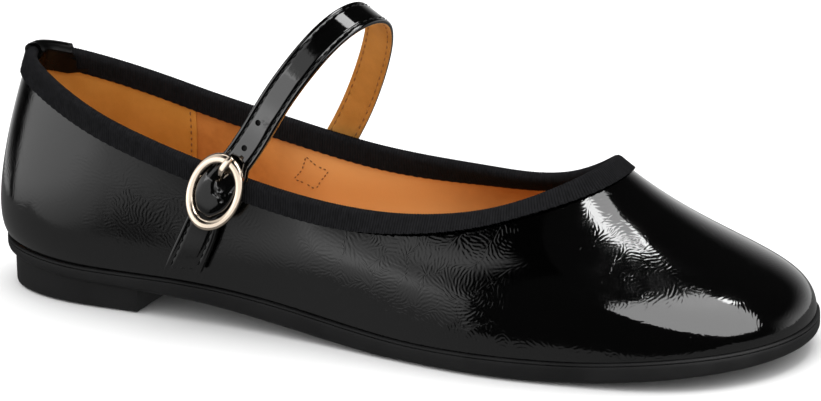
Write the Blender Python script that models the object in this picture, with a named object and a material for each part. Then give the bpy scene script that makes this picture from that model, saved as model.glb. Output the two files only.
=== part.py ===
"""Ballet flat for the right foot: a one-piece upper on a low moulded sole, with a buckled instep strap.

Metres, +Z up. The toe points along +X, the outer side of the foot is -Y, and the sole stands on Z = 0.
Lengths along the shoe are measured from the back of the feather line, the edge where upper meets sole.
"""

import bpy
import bmesh
import numpy as np

# Driving dimensions
LAST_LENGTH = 0.250         # feather line, back of heel to tip of toe
ORIGIN = np.array([0.12417, -0.00036, 0.0])   # middle of the finished shoe on the floor
GAP = 0.0003                # clearance between neighbouring pieces

HEEL_ROUND = 0.0368         # length of the rounded back of the outline
HEEL_POWER = 2.34
TOE_ROUND_START = 0.1930    # where the outline begins to close round the toe
TOE_POWER = 3.29
TOE_SWING = 0.0024          # how far the tip lies to the inner side

COLLAR_BACK = 0.0072
COLLAR_THROAT = 0.1920
COLLAR_BACK_SHARE = 0.22    # part of the collar's length that rounds the heel
COLLAR_BACK_POWER = 2.11
COLLAR_THROAT_SHARE = 0.20  # part of the collar's length that rounds the throat
COLLAR_THROAT_POWER = 2.55
COLLAR_SWING = -0.0012

WALL = 0.0016               # patent, stiffener and lining together
INSOLE_THICKNESS = 0.0020
BINDING_THICKNESS = 0.0005
BINDING_DEPTH = 0.0058      # how far the ribbon reaches down each side of the rim
TAB_THICKNESS = 0.0006
TAB_HALF_WIDTH = 0.0105

LIP = 0.0009                # how far the sole's edge stands out from the feather line
LIP_ROUND = 0.0004
EDGE_ROUND = 0.0008
BREAST = 0.0514             # front of the heel block
BREAST_RAKE = 0.0008        # its top lies this much further forward
RAKE_FADE = 4               # power by which that lean dies away towards the back
BREAST_MARGIN = 0.0010      # least distance of the block's other stations from its front
BLOCK_INSET = 0.0014        # heel block inside the feather line

STRAP_WIDTH = 0.0093
STRAP_THICKNESS = 0.0016
STRAP_BEVEL = 0.0004
CHAPE_HALF_WIDTH = 0.0042   # the strip that holds the buckle's bar
CHAPE_THICKNESS = 0.0006
CHAPE_SLOT_HALF = 0.0012    # opening in its fold for the prong
BAR_RADIUS = 0.0006
RING_OUTER_LONG = 0.0124    # half sizes of the oval ring
RING_INNER_LONG = 0.0091
RING_OUTER_SHORT = 0.0085
RING_INNER_SHORT = 0.0062
RING_HALF_THICKNESS = 0.0010
RING_DIP = 0.0005           # the sides of the ring lie this much nearer the shoe, where they meet the bar
PRONG_HALF_WIDTH = 0.0006
PRONG_HALF_THICKNESS = 0.0003

# How finely the faceted surfaces are divided
SOLE_STATIONS = 44          # stations along one side of the shoe
UPPER_STATIONS = 46
INSOLE_STATIONS = 30
UPPER_ROWS = 10             # rows up the wall
RIM_ROWS = 3                # rows down each side of a fold over the rim
RIM_ARC = 5                 # points round the top of such a fold
RIM_SEARCH = np.linspace(0.4, 1, 61)        # climbs at which a depth below the rim is looked up
STRAP_STEPS = 64
CHAPE_RUN_STEPS = 6
CHAPE_TURN_STEPS = 20
PRONG_STEPS = 19
PRONG_TURN_STEPS = 16
RING_STEPS = 48
RING_SIDES = 10
BAR_SIDES = 10

# The strap lies near one leaning plane. Its middle line is measured there: rise up the plane, across it
# towards the inner side, and sway off it towards the toe. twist and skew are the shares of a width by which
# the front edge turns inwards and upwards, and width is a share of the full one.
STRAP_ORIGIN = np.array([0.0834, -0.0354, 0.0429])
STRAP_RISE = np.array([0.5145, 0.0, 0.8575])
STRAP_ACROSS = np.array([0.1257, 0.9892, -0.0754])
STRAP_EDGE = np.array([0.8482, -0.1466, -0.5089])


def table(names, rows):
    """A table as arrays by column name; the first column is the place along the shoe."""
    return dict(zip(names.split(), np.array(rows).T))


# Sections of the last. outer and inner are half widths at the feather line, bulge is how far the wall
# swells past it, rise is how steeply it starts, and spread and drop aim the wall below the collar.
LAST = table(
    "along  outer   inner   feather ground   bulge   rise  spread   drop    collar",
    [[0.000, 0.0238, 0.0272, 0.0144, 0.0100, 0.0069, 0.11, 0.0060, 0.0164, 0.000],
     [0.036, 0.0266, 0.0276, 0.0122, 0.0074, 0.0040, 0.33, 0.0005, 0.0165, 0.205],
     [0.070, 0.0283, 0.0248, 0.0120, 0.0062, 0.0019, 0.49, -0.0021, 0.0178, 0.400],
     [0.105, 0.0318, 0.0270, 0.0092, 0.0024, 0.0020, 0.58, 0.0022, 0.0153, 0.575],
     [0.140, 0.0389, 0.0339, 0.0061, -0.0002, 0.0021, 0.63, 0.0097, 0.0121, 0.720],
     [0.170, 0.0436, 0.0404, 0.0061, -0.0002, 0.0019, 0.61, 0.0153, 0.0122, 0.830],
     [0.200, 0.0425, 0.0410, 0.0069, 0.0007, 0.0011, 0.52, 0.0223, 0.0156, 0.920],
     [0.225, 0.0405, 0.0410, 0.0089, 0.0029, 0.0002, 0.38, 0.0279, 0.0243, 0.965],
     [0.250, 0.0378, 0.0395, 0.0099, 0.0046, 0.0005, 0.39, 0.0336, 0.0307, 1.000]])

# The collar line, by share of its length from the back to the throat.
COLLAR = table(
    "share outer   inner   outer_z inner_z",
    [[0.00, 0.0179, 0.0175, 0.0683, 0.0683],
     [0.10, 0.0234, 0.0215, 0.0633, 0.0608],
     [0.22, 0.0276, 0.0233, 0.0561, 0.0538],
     [0.38, 0.0303, 0.0239, 0.0481, 0.0471],
     [0.55, 0.0313, 0.0259, 0.0418, 0.0408],
     [0.72, 0.0303, 0.0286, 0.0400, 0.0379],
     [0.87, 0.0259, 0.0284, 0.0437, 0.0395],
     [1.00, 0.0228, 0.0248, 0.0524, 0.0524]])

STRAP = table(
    "step rise    across   twist  width skew  sway",
    [[0,  -0.0300,  0.0046, 0.117, 1.10, 0.73, 0.0014],
     [1,  -0.0255,  0.0041, 0.117, 1.10, 0.62, 0.0012],
     [2,  -0.0210,  0.0037, 0.117, 1.10, 0.48, 0.0010],
     [3,  -0.0165,  0.0034, 0.117, 1.09, 0.33, 0.0007],
     [4,  -0.0130,  0.0031, 0.117, 1.06, 0.20, 0.0004],
     [5,  -0.0095,  0.0028, 0.117, 1.01, 0.08, 0.0002],
     [6,  -0.0062,  0.0025, 0.110, 0.94, 0.00, 0.0000],
     [7,  -0.0030,  0.0001, 0.100, 0.94, 0.00, 0.0000],
     [8,   0.0000, -0.0010, 0.095, 0.94, 0.00, 0.0000],
     [9,   0.0030,  0.0001, 0.090, 0.94, 0.00, 0.0000],
     [10,  0.0062,  0.0019, 0.085, 0.92, 0.00, 0.0000],
     [11,  0.0095,  0.0032, 0.080, 0.98, 0.00, 0.0000],
     [12,  0.0145,  0.0046, 0.070, 1.00, 0.00, 0.0000],
     [13,  0.0225,  0.0056, 0.060, 1.00, 0.00, 0.0000],
     [14,  0.0310,  0.0062, 0.050, 1.00, 0.00, 0.0000],
     [15,  0.0390,  0.0080, 0.045, 1.00, 0.00, 0.0000],
     [16,  0.0465,  0.0111, 0.040, 1.00, 0.00, 0.0000],
     [17,  0.0530,  0.0156, 0.040, 1.00, 0.00, 0.0000],
     [18,  0.0574,  0.0219, 0.045, 1.00, 0.00, 0.0000],
     [19,  0.0589,  0.0294, 0.060, 1.00, 0.00, 0.0000],
     [20,  0.0576,  0.0367, 0.090, 1.00, 0.00, 0.0000],
     [21,  0.0536,  0.0430, 0.130, 1.00, 0.00, 0.0000],
     [22,  0.0470,  0.0485, 0.170, 1.00, 0.00, 0.0000],
     [23,  0.0390,  0.0530, 0.210, 1.00, 0.00, 0.0000],
     [24,  0.0300,  0.0568, 0.240, 1.00, 0.00, 0.0000],
     [25,  0.0210,  0.0596, 0.255, 1.00, 0.00, 0.0000],
     [26,  0.0130,  0.0611, 0.250, 1.00, 0.00, 0.0000],
     [27,  0.0060,  0.0615, 0.240, 1.00, 0.00, 0.0000],
     [28,  0.0005,  0.0614, 0.240, 1.00, 0.00, 0.0000],
     [29, -0.0035,  0.0607, 0.260, 1.00, 0.00, 0.0000],
     [30, -0.0065,  0.0606, 0.290, 1.00, 0.00, 0.0000],
     [31, -0.0100,  0.0610, 0.310, 1.00, 0.00, 0.0000],
     [32, -0.0135,  0.0616, 0.320, 1.00, 0.00, 0.0000]])

# The chape's middle line: up the outer quarter, round the bar and back to itself.
CHAPE_FOOT = -0.0220
CHAPE_LIFT_START = 0.0066   # below this it lies on the quarter
CHAPE_LIFT_END = 0.0032     # above this it lies over the binding
CHAPE_TURN = (90, -190)     # degrees round the bar, from its inner side over its top
BAR_ACROSS = 0.0016
RING_ACROSS = -0.0002
RING_STEP = 8               # the strap's row behind the ring's middle
RING_LEAN = 0.03            # the ring's top lies this share of its length further inwards
RING_SWING = 0.087          # and its long axis is turned this far towards the heel
QUARTER_SLOPE = -0.088      # how far the quarter moves in for each metre down the strap's plane
QUARTER_ACROSS = 0.0042     # the quarter's face behind the bar

PRONG = table(
    "step rise    across   sway",
    [[0,   0.0009,  0.0007, -0.0003],
     [1,   0.0025,  0.0009, -0.0003],
     [2,   0.0040,  0.0006, -0.0005],
     [3,   0.0056, -0.0004, -0.0007],
     [4,   0.0074, -0.0014, -0.0008],
     [5,   0.0094, -0.0016, -0.0007],
     [6,   0.0114, -0.0016, -0.0005],
     [7,   0.0128, -0.0013, -0.0003]])
PRONG_TURN = (-300, -60)    # degrees round the bar
HOLE_RISE = 0.0043          # the strap's hole for the prong
HOLE_ACROSS = 0.0010
HOLE_SWAY = -0.0006
HOLE_HALF_LENGTH = 0.0026
HOLE_HALF_WIDTH = 0.0012


def smooth(source, name, at):
    """Natural cubic through one column of a table, read at the given places."""
    knots = list(source.values())[0]
    values = source[name]
    step = np.diff(knots)
    count = len(knots)
    system = np.eye(count)
    right = np.zeros(count)
    for i in range(1, count - 1):
        system[i, i - 1:i + 2] = step[i - 1], 2 * (step[i - 1] + step[i]), step[i]
        right[i] = 6 * ((values[i + 1] - values[i]) / step[i] - (values[i] - values[i - 1]) / step[i - 1])
    bend = np.linalg.solve(system, right)
    at = np.clip(at, knots[0], knots[-1])
    k = np.clip(np.searchsorted(knots, at) - 1, 0, count - 2)
    d = at - knots[k]
    slope = (values[k + 1] - values[k]) / step[k] - step[k] * (2 * bend[k] + bend[k + 1]) / 6
    return values[k] + d * slope + d * d * bend[k] / 2 + d ** 3 * (bend[k + 1] - bend[k]) / (6 * step[k])


def by_side(source, outer, inner, at, side):
    return np.where(side < 0, smooth(source, outer, at), smooth(source, inner, at))


def stations(count, reach=LAST_LENGTH):
    """Places round the last: the outer side from heel to toe, then the inner side back to the heel."""
    turn = np.linspace(0, np.pi, count + 1)
    half = reach / 2 * (1 - np.cos(turn))
    along = np.concatenate([half[:-1], half[:0:-1]])
    side = np.concatenate([np.full(count, -1.0), np.full(count, 1.0)])
    return along, side


def feather_loop(along, side):
    """The feather line: the outline of the last's bottom, at its height above the floor."""
    heel = np.clip((HEEL_ROUND - along) / HEEL_ROUND, 0, 1)
    toe = np.clip((along - TOE_ROUND_START) / (LAST_LENGTH - TOE_ROUND_START), 0, 1)
    close = (1 - heel ** HEEL_POWER) ** (1 / HEEL_POWER) * np.sqrt(1 - toe ** TOE_POWER)
    half = by_side(LAST, "outer", "inner", along, side) * close
    swing = TOE_SWING * (along / LAST_LENGTH) ** 3
    return np.stack([along, side * half + swing, smooth(LAST, "feather", along)], axis=1)


def collar_loop(along, side):
    """The collar line, each point above its own place on the feather line."""
    share = np.clip(smooth(LAST, "collar", along), 0, 1)
    back = np.clip((COLLAR_BACK_SHARE - share) / COLLAR_BACK_SHARE, 0, 1)
    throat = np.clip((share - 1 + COLLAR_THROAT_SHARE) / COLLAR_THROAT_SHARE, 0, 1)
    close = (1 - back ** COLLAR_BACK_POWER) ** (1 / COLLAR_BACK_POWER)
    close *= (1 - throat ** COLLAR_THROAT_POWER) ** (1 / COLLAR_THROAT_POWER)
    half = by_side(COLLAR, "outer", "inner", share, side) * close
    x = COLLAR_BACK + (COLLAR_THROAT - COLLAR_BACK) * share
    z = by_side(COLLAR, "outer_z", "inner_z", share, side)
    return np.stack([x, side * half + COLLAR_SWING, z], axis=1)


def plan_outward(loop):
    """Unit directions in plan that point away from a loop that runs heel, outer side, toe, inner side."""
    run = np.roll(loop, -1, axis=0) - np.roll(loop, 1, axis=0)
    out = np.stack([run[:, 1], -run[:, 0]], axis=1)
    return out / np.linalg.norm(out, axis=1, keepdims=True)


def offset_loop(loop, distance, z=None):
    moved = loop.copy()
    moved[:, :2] += plan_outward(loop) * distance
    if z is not None:
        moved[:, 2] = z
    return moved


def wall_grid(along, side, climb):
    """The upper's outer face: one curved column for each station, read at each climb from 0 to 1."""
    foot = feather_loop(along, side)
    rim = collar_loop(along, side)
    start = foot.copy()
    start[:, :2] += plan_outward(foot) * smooth(LAST, "bulge", along)[:, None]
    start[:, 2] += (rim[:, 2] - foot[:, 2]) * smooth(LAST, "rise", along)
    end = rim.copy()
    end[:, :2] += plan_outward(rim) * smooth(LAST, "spread", along)[:, None]
    end[:, 2] -= smooth(LAST, "drop", along)
    t = np.asarray(climb)[None, :, None]
    foot, start, end, rim = (p[:, None, :] for p in (foot, start, end, rim))
    return (1 - t) ** 3 * foot + 3 * t * (1 - t) ** 2 * start + 3 * t * t * (1 - t) * end + t ** 3 * rim


def grid_normals(grid):
    """Outward normals of a grid that is closed round the shoe and runs upwards."""
    round_it = np.roll(grid, -1, axis=0) - np.roll(grid, 1, axis=0)
    up_it = np.gradient(grid, axis=1)
    normal = np.cross(round_it, up_it)
    return normal / np.linalg.norm(normal, axis=2, keepdims=True)


def rim_frame(along, side, depths):
    """Points and normals of the outer face at depths below the rim, and the rim's upward direction."""
    grid = wall_grid(along, side, RIM_SEARCH)
    normal = grid_normals(grid)
    step = np.linalg.norm(np.diff(grid, axis=1), axis=2)
    below = np.concatenate([np.cumsum(step[:, ::-1], axis=1)[:, ::-1], np.zeros((len(grid), 1))], axis=1)
    points = np.empty((len(grid), len(depths), 3))
    normals = np.empty_like(points)
    for i in range(len(grid)):
        for axis in range(3):
            points[i, :, axis] = np.interp(depths, below[i, ::-1], grid[i, ::-1, axis])
            normals[i, :, axis] = np.interp(depths, below[i, ::-1], normal[i, ::-1, axis])
    up = grid[:, -1] - grid[:, -3]
    return points, normals, up / np.linalg.norm(up, axis=1, keepdims=True)


def rim_profile(points, normals, up, clear):
    """Rings of a fold over the rim, clear of the wall, from inner hem over the top to outer hem."""
    outer = [points[:, k] + normals[:, k] * clear for k in range(1, points.shape[1])]
    inner = [points[:, k] - normals[:, k] * (WALL + clear) for k in range(1, points.shape[1])]
    middle = points[:, 0] - normals[:, 0] * WALL / 2
    radius = WALL / 2 + clear
    over = [middle + radius * (normals[:, 0] * np.cos(turn) + up * np.sin(turn))
            for turn in np.linspace(np.pi, 0, RIM_ARC)]
    return inner[::-1] + over + outer


# Building meshes

def material(name, colour, roughness, metallic=0.0):
    made = bpy.data.materials.new(name)
    made.use_nodes = True
    shader = made.node_tree.nodes["Principled BSDF"]
    shader.inputs["Base Color"].default_value = (*colour, 1.0)
    shader.inputs["Roughness"].default_value = roughness
    shader.inputs["Metallic"].default_value = metallic
    return made


def make_object(name, rings, faces, finish):
    """One closed mesh object from rings of points, moved so that the shoe's middle is the origin."""
    mesh = bpy.data.meshes.new(name)
    points = np.concatenate(rings) - ORIGIN
    mesh.from_pydata(points.tolist(), [], faces)
    work = bmesh.new()
    work.from_mesh(mesh)
    bmesh.ops.recalc_face_normals(work, faces=work.faces)
    work.to_mesh(mesh)
    work.free()
    mesh.shade_smooth()
    mesh.set_sharp_from_angle(angle=np.radians(40))
    mesh.materials.append(finish)
    made = bpy.data.objects.new(name, mesh)
    bpy.context.collection.objects.link(made)
    return made


def side_faces(ring_count, size, wrap_rings=False, wrap_round=True):
    """Quads between following rings."""
    faces = []
    for r in range(ring_count if wrap_rings else ring_count - 1):
        low, high = r * size, (r + 1) % ring_count * size
        for i in range(size if wrap_round else size - 1):
            j = (i + 1) % size
            faces.append((low + i, low + j, high + j, high + i))
    return faces


def ladder_faces(start, size):
    """A lid across a loop whose two sides have matching stations, in strips from side to side."""
    strips = (size - 1) // 2
    faces = [(start, start + 1, start + size - 1)]
    faces += [(start + i, start + i + 1, start + size - i - 1, start + size - i) for i in range(1, strips)]
    if size % 2 == 0:
        faces.append((start + strips, start + strips + 1, start + strips + 2))
    return faces


def slab(name, rings, finish):
    """A solid of stacked loops with a lid at each end."""
    size = len(rings[0])
    faces = side_faces(len(rings), size)
    faces += ladder_faces(0, size) + ladder_faces((len(rings) - 1) * size, size)
    return make_object(name, rings, faces, finish)


# Pieces

def make_sole(finish):
    along, side = stations(SOLE_STATIONS)
    feather = feather_loop(along, side)
    top = feather[:, 2]
    ground = np.maximum(smooth(LAST, "ground", along), 0)
    plate = slab("sole", [
        offset_loop(feather, LIP - 2 * EDGE_ROUND, ground),
        offset_loop(feather, LIP - EDGE_ROUND, ground + EDGE_ROUND),
        offset_loop(feather, LIP, top - LIP_ROUND),
        offset_loop(feather, LIP - LIP_ROUND, top)], finish)

    back = along < BREAST - BREAST_MARGIN
    outer = np.append(along[back & (side < 0)], BREAST)
    inner = np.append(BREAST, along[back & (side > 0)])
    block_along = np.concatenate([outer, inner])
    block_side = np.concatenate([np.full(len(outer), -1.0), np.full(len(inner), 1.0)])
    edge = feather_loop(block_along, block_side)
    outward = plan_outward(edge)
    outward[len(outer) - 1] = outward[len(outer) - 2]
    outward[len(outer)] = outward[len(outer) + 1]

    def block_ring(inset, z, rake):
        ring = edge.copy()
        ring[:, :2] -= outward * inset
        ring[:, 0] += rake * (block_along / BREAST) ** RAKE_FADE
        ring[:, 2] = z
        return ring

    root = edge[:, 2] - (LAST["feather"][0] - LAST["ground"][0]) / 2
    block = slab("heel block guide", [
        block_ring(BLOCK_INSET + EDGE_ROUND / 2, 0, 0),
        block_ring(BLOCK_INSET, EDGE_ROUND, BREAST_RAKE * EDGE_ROUND / root[0]),
        block_ring(BLOCK_INSET, root, BREAST_RAKE)], finish)
    block.hide_render = True
    block.display_type = "WIRE"
    join = plate.modifiers.new("heel block", "BOOLEAN")
    join.operation = "UNION"
    join.object = block


def make_upper(finish):
    along, side = stations(UPPER_STATIONS)
    outer = wall_grid(along, side, np.linspace(0, 1, UPPER_ROWS))
    inner = outer - grid_normals(outer) * WALL
    inner[:, 0, 2] = outer[:, 0, 2]
    for face in (outer, inner):
        face[:, 0, 2] += GAP
    rings = [outer[:, k] for k in range(UPPER_ROWS)] + [inner[:, k] for k in range(UPPER_ROWS - 1, -1, -1)]
    make_object("upper", rings, side_faces(len(rings), len(along), wrap_rings=True), finish)


def make_insole(finish):
    along, side = stations(INSOLE_STATIONS)
    feather = feather_loop(along, side)
    inset = WALL + 2 * GAP
    slab("insole", [
        offset_loop(feather, -inset, feather[:, 2] + GAP),
        offset_loop(feather, -inset, feather[:, 2] + GAP + INSOLE_THICKNESS)], finish)


def make_binding(finish):
    along, side = stations(UPPER_STATIONS)
    frame = rim_frame(along, side, np.linspace(0, BINDING_DEPTH, RIM_ROWS))
    near = rim_profile(*frame, GAP)
    far = rim_profile(*frame, GAP + BINDING_THICKNESS)
    rings = near + far[::-1]
    make_object("topline_binding", rings, side_faces(len(rings), len(along), wrap_rings=True), finish)


def make_heel_tab(finish):
    along, side = stations(4 * UPPER_STATIONS)
    points, normals, up = rim_frame(along, side, np.linspace(0, BINDING_DEPTH, RIM_ROWS))
    keep = (np.abs(points[:, 0, 1]) < TAB_HALF_WIDTH) & (along < HEEL_ROUND)
    order = np.argsort(points[keep][:, 0, 1])[::2]
    frame = [part[keep][order] for part in (points, normals, up)]
    clear = BINDING_THICKNESS + 2 * GAP
    rings = rim_profile(*frame, clear) + rim_profile(*frame, clear + TAB_THICKNESS)[::-1]
    size = len(order)
    faces = side_faces(len(rings), size, wrap_rings=True, wrap_round=False)
    last = len(rings) - 1
    for end in (0, size - 1):
        faces += [tuple(ring * size + end for ring in (k, k + 1, last - k - 1, last - k))
                  for k in range(len(rings) // 2 - 1)]
    make_object("heel_tab", rings, faces, finish)


def strap_point(rise, across, sway=0.0):
    """A place measured in the strap's plane, sway being off the plane towards the toe."""
    return (STRAP_ORIGIN + np.multiply.outer(rise, STRAP_RISE) + np.multiply.outer(across, STRAP_ACROSS)
            + np.multiply.outer(sway, STRAP_EDGE))


def unit(vectors):
    return vectors / np.linalg.norm(vectors, axis=-1, keepdims=True)


def band_rings(centre, edge, section, width=1.0):
    """Rings of a band along a middle line: section holds (along the edge, along the thickness) pairs."""
    width = np.reshape(width, (-1, 1))
    run = unit(np.gradient(centre, axis=0))
    thick = unit(np.cross(run, edge))
    return [centre + edge * width * a + thick * b for a, b in section]


def rounded_section(half_width, half_thickness, bevel):
    w, t, c = half_width, half_thickness, bevel
    return [(w, c - t), (w, t - c), (w - c, t), (c - w, t),
            (-w, t - c), (-w, c - t), (c - w, -t), (w - c, -t)]


def band(name, centre, edge, section, finish, width=1.0):
    """A closed band with flat ends."""
    rings = band_rings(centre, edge, section, width)
    size = len(centre)
    faces = side_faces(len(rings), size, wrap_rings=True, wrap_round=False)
    faces += [tuple(k * size + end for k in range(len(rings))) for end in (0, size - 1)]
    return make_object(name, rings, faces, finish)


def cut(target, cutter, operation="DIFFERENCE"):
    cutter.hide_render = True
    cutter.display_type = "WIRE"
    change = target.modifiers.new(cutter.name, "BOOLEAN")
    change.operation = operation
    change.object = cutter


def guide_box(name, middle, axes, halves, finish):
    """A box from its middle, three directions and three half sizes."""
    corners = [middle + axes[0] * halves[0] * i + axes[1] * halves[1] * j + axes[2] * halves[2] * k
               for i, j, k in ((-1, -1, -1), (1, -1, -1), (1, 1, -1), (-1, 1, -1),
                               (-1, -1, 1), (1, -1, 1), (1, 1, 1), (-1, 1, 1))]
    faces = [(0, 1, 2, 3), (4, 5, 6, 7), (0, 1, 5, 4), (1, 2, 6, 5), (2, 3, 7, 6), (3, 0, 4, 7)]
    return make_object(name, [np.array(corners)], faces, finish)


def make_strap(finish):
    step = np.linspace(0, STRAP["step"][-1], STRAP_STEPS + 1)
    centre = strap_point(*(smooth(STRAP, name, step) for name in ("rise", "across", "sway")))
    edge = (STRAP_EDGE + np.multiply.outer(smooth(STRAP, "twist", step), STRAP_ACROSS)
            + np.multiply.outer(smooth(STRAP, "skew", step), STRAP_RISE))
    section = rounded_section(STRAP_WIDTH / 2, STRAP_THICKNESS / 2, STRAP_BEVEL)
    strap = band("strap", centre, edge, section, finish, smooth(STRAP, "width", step))
    axes = (STRAP_RISE, STRAP_EDGE, STRAP_ACROSS)
    hole = guide_box("prong hole guide", strap_point(HOLE_RISE, HOLE_ACROSS, HOLE_SWAY), axes,
                     (HOLE_HALF_LENGTH, HOLE_HALF_WIDTH, 3 * STRAP_THICKNESS), finish)
    cut(strap, hole)


def make_buckle_tab(finish):
    """The chape: a strip up the quarter that loops once round the bar."""
    loop_radius = BAR_RADIUS + GAP + CHAPE_THICKNESS / 2
    foot = QUARTER_ACROSS - GAP - CHAPE_THICKNESS / 2
    run = np.linspace(CHAPE_FOOT, -CHAPE_LIFT_START, CHAPE_RUN_STEPS)
    turn = np.radians(np.linspace(*CHAPE_TURN, CHAPE_TURN_STEPS))
    rise = np.concatenate([run, [-CHAPE_LIFT_END], loop_radius * np.cos(turn)])
    across = np.concatenate([foot + QUARTER_SLOPE * run, [BAR_ACROSS + loop_radius],
                             BAR_ACROSS + loop_radius * np.sin(turn)])
    centre = strap_point(rise, across)
    edge = np.broadcast_to(STRAP_EDGE + STRAP["twist"][0] * STRAP_ACROSS, centre.shape)
    section = rounded_section(CHAPE_HALF_WIDTH, CHAPE_THICKNESS / 2, CHAPE_THICKNESS / 4)
    tab = band("buckle_tab", centre, edge, section, finish)
    axes = (STRAP_RISE, STRAP_EDGE, STRAP_ACROSS)
    slot = guide_box("prong slot guide", strap_point(0.0, BAR_ACROSS), axes,
                     (4 * BAR_RADIUS, CHAPE_SLOT_HALF, 4 * BAR_RADIUS), finish)
    cut(tab, slot)


def make_ring(finish):
    """The oval ring, with its bar across the middle."""
    edge = unit(STRAP_EDGE + STRAP["twist"][RING_STEP] * STRAP_ACROSS)
    long_axis = unit(STRAP_RISE + RING_LEAN * STRAP_ACROSS)
    out = unit(np.cross(edge, long_axis))
    if out @ STRAP_ACROSS > 0:
        out = -out
    long_axis = unit(long_axis - RING_SWING * edge)
    edge = unit(np.cross(long_axis, out))
    middle = strap_point(0.0, RING_ACROSS)
    turn = np.linspace(0, 2 * np.pi, RING_STEPS, endpoint=False)
    cosine, sine = np.cos(turn), np.sin(turn)
    rings = []
    for around in np.linspace(0, 2 * np.pi, RING_SIDES, endpoint=False):
        share = (1 + np.cos(around)) / 2
        far = RING_INNER_LONG + (RING_OUTER_LONG - RING_INNER_LONG) * share
        wide = RING_INNER_SHORT + (RING_OUTER_SHORT - RING_INNER_SHORT) * share
        lift = RING_HALF_THICKNESS * np.sin(around) - RING_DIP * sine ** 2
        rings.append(middle + np.outer(cosine * far, long_axis) + np.outer(sine * wide, edge)
                     + np.outer(lift, out))
    ring = make_object("buckle_ring", rings, side_faces(len(rings), RING_STEPS, wrap_rings=True), finish)

    reach = (RING_INNER_SHORT + RING_OUTER_SHORT) / 2
    bar_middle = strap_point(0.0, BAR_ACROSS)
    bar_edge = unit(STRAP_EDGE + STRAP["twist"][0] * STRAP_ACROSS)
    ends = np.array([bar_middle - bar_edge * reach, bar_middle + bar_edge * reach])
    round_it = np.linspace(0, 2 * np.pi, BAR_SIDES, endpoint=False)
    bar_rings = [ends + BAR_RADIUS * (out * np.cos(a) + long_axis * np.sin(a)) for a in round_it]
    faces = side_faces(len(bar_rings), 2, wrap_rings=True, wrap_round=False)
    faces += [tuple(k * 2 + end for k in range(len(bar_rings))) for end in (0, 1)]
    bar = make_object("bar guide", bar_rings, faces, finish)
    cut(ring, bar, "UNION")


def make_prong(finish):
    """The pin: an eye round the bar and a tongue up through the strap to the ring's top."""
    step = np.linspace(0, PRONG["step"][-1], PRONG_STEPS)
    eye_radius = BAR_RADIUS + GAP + PRONG_HALF_THICKNESS
    turn = np.radians(np.linspace(*PRONG_TURN, PRONG_TURN_STEPS))
    rise = np.concatenate([eye_radius * np.cos(turn), smooth(PRONG, "rise", step)[1:]])
    across = np.concatenate([BAR_ACROSS + eye_radius * np.sin(turn), smooth(PRONG, "across", step)[1:]])
    sway = np.concatenate([np.full(len(turn), PRONG["sway"][0]), smooth(PRONG, "sway", step)[1:]])
    centre = strap_point(rise, across, sway)
    edge = np.broadcast_to(STRAP_EDGE, centre.shape)
    section = rounded_section(PRONG_HALF_WIDTH, PRONG_HALF_THICKNESS, PRONG_HALF_THICKNESS / 2)
    band("buckle_prong", centre, edge, section, finish)


def main():
    for old in list(bpy.data.objects):
        bpy.data.objects.remove(old)
    patent = material("black patent", (0.012, 0.012, 0.013), 0.12)
    rubber = material("black rubber", (0.02, 0.02, 0.021), 0.6)
    lining = material("tan lining", (0.48, 0.24, 0.07), 0.5)
    ribbon = material("black ribbon", (0.01, 0.01, 0.01), 0.8)
    gold = material("pale gold", (0.83, 0.66, 0.42), 0.2, 1.0)
    make_sole(rubber)
    make_upper(patent)
    make_insole(lining)
    make_binding(ribbon)
    make_heel_tab(patent)
    make_strap(patent)
    make_buckle_tab(patent)
    make_ring(gold)
    make_prong(gold)


main()
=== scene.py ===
"""Ballet flat: the looks of a right shoe in crinkled black patent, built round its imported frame.

Metres, +Z up. The toe points along +X and the outer side of the foot is -Y. Forms are worked out in the
last's own frame, measured from the back of the feather line, and moved to the shoe's middle when made.
"""

import math

import bpy
import numpy as np
from mathutils import Matrix, Vector


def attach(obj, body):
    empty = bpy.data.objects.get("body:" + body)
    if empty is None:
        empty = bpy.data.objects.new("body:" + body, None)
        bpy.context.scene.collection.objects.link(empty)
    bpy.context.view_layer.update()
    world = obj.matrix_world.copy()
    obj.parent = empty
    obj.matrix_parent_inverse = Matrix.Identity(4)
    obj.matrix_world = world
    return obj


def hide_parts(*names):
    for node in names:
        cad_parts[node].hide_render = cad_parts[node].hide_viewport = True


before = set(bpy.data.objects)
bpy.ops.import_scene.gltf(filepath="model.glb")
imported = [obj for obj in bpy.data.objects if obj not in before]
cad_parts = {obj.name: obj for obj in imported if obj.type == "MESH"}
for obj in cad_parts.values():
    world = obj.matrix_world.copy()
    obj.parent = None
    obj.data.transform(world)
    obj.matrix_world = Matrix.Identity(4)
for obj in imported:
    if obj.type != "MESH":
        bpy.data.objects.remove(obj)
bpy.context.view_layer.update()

# ---------------------------------------------------------------- the last and the strap, as constructed

LAST_LENGTH = 0.250
ORIGIN = np.array([0.12417, -0.00036, 0.0])
HEEL_ROUND, HEEL_POWER = 0.0368, 2.34
TOE_ROUND_START, TOE_POWER, TOE_SWING = 0.1930, 3.29, 0.0024
COLLAR_BACK, COLLAR_THROAT, COLLAR_SWING = 0.0072, 0.1920, -0.0012
COLLAR_BACK_SHARE, COLLAR_BACK_POWER = 0.22, 2.11
COLLAR_THROAT_SHARE, COLLAR_THROAT_POWER = 0.20, 2.55

WALL = 0.0016               # the whole wall of the upper
PATENT = 0.0010             # the outer leather's share of it
LINING = 0.0004
BINDING_DEPTH = 0.0051      # how far the ribbon reaches down each side
RIBBON = 0.0003
TAB_TURNS = (-0.31, 0.012)  # where the back tab begins and ends round the collar
LIP = 0.0009                # how far the sole's edge stands out from the feather line
BREAST, BREAST_RAKE, BLOCK_INSET = 0.0514, 0.0008, 0.0014

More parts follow.
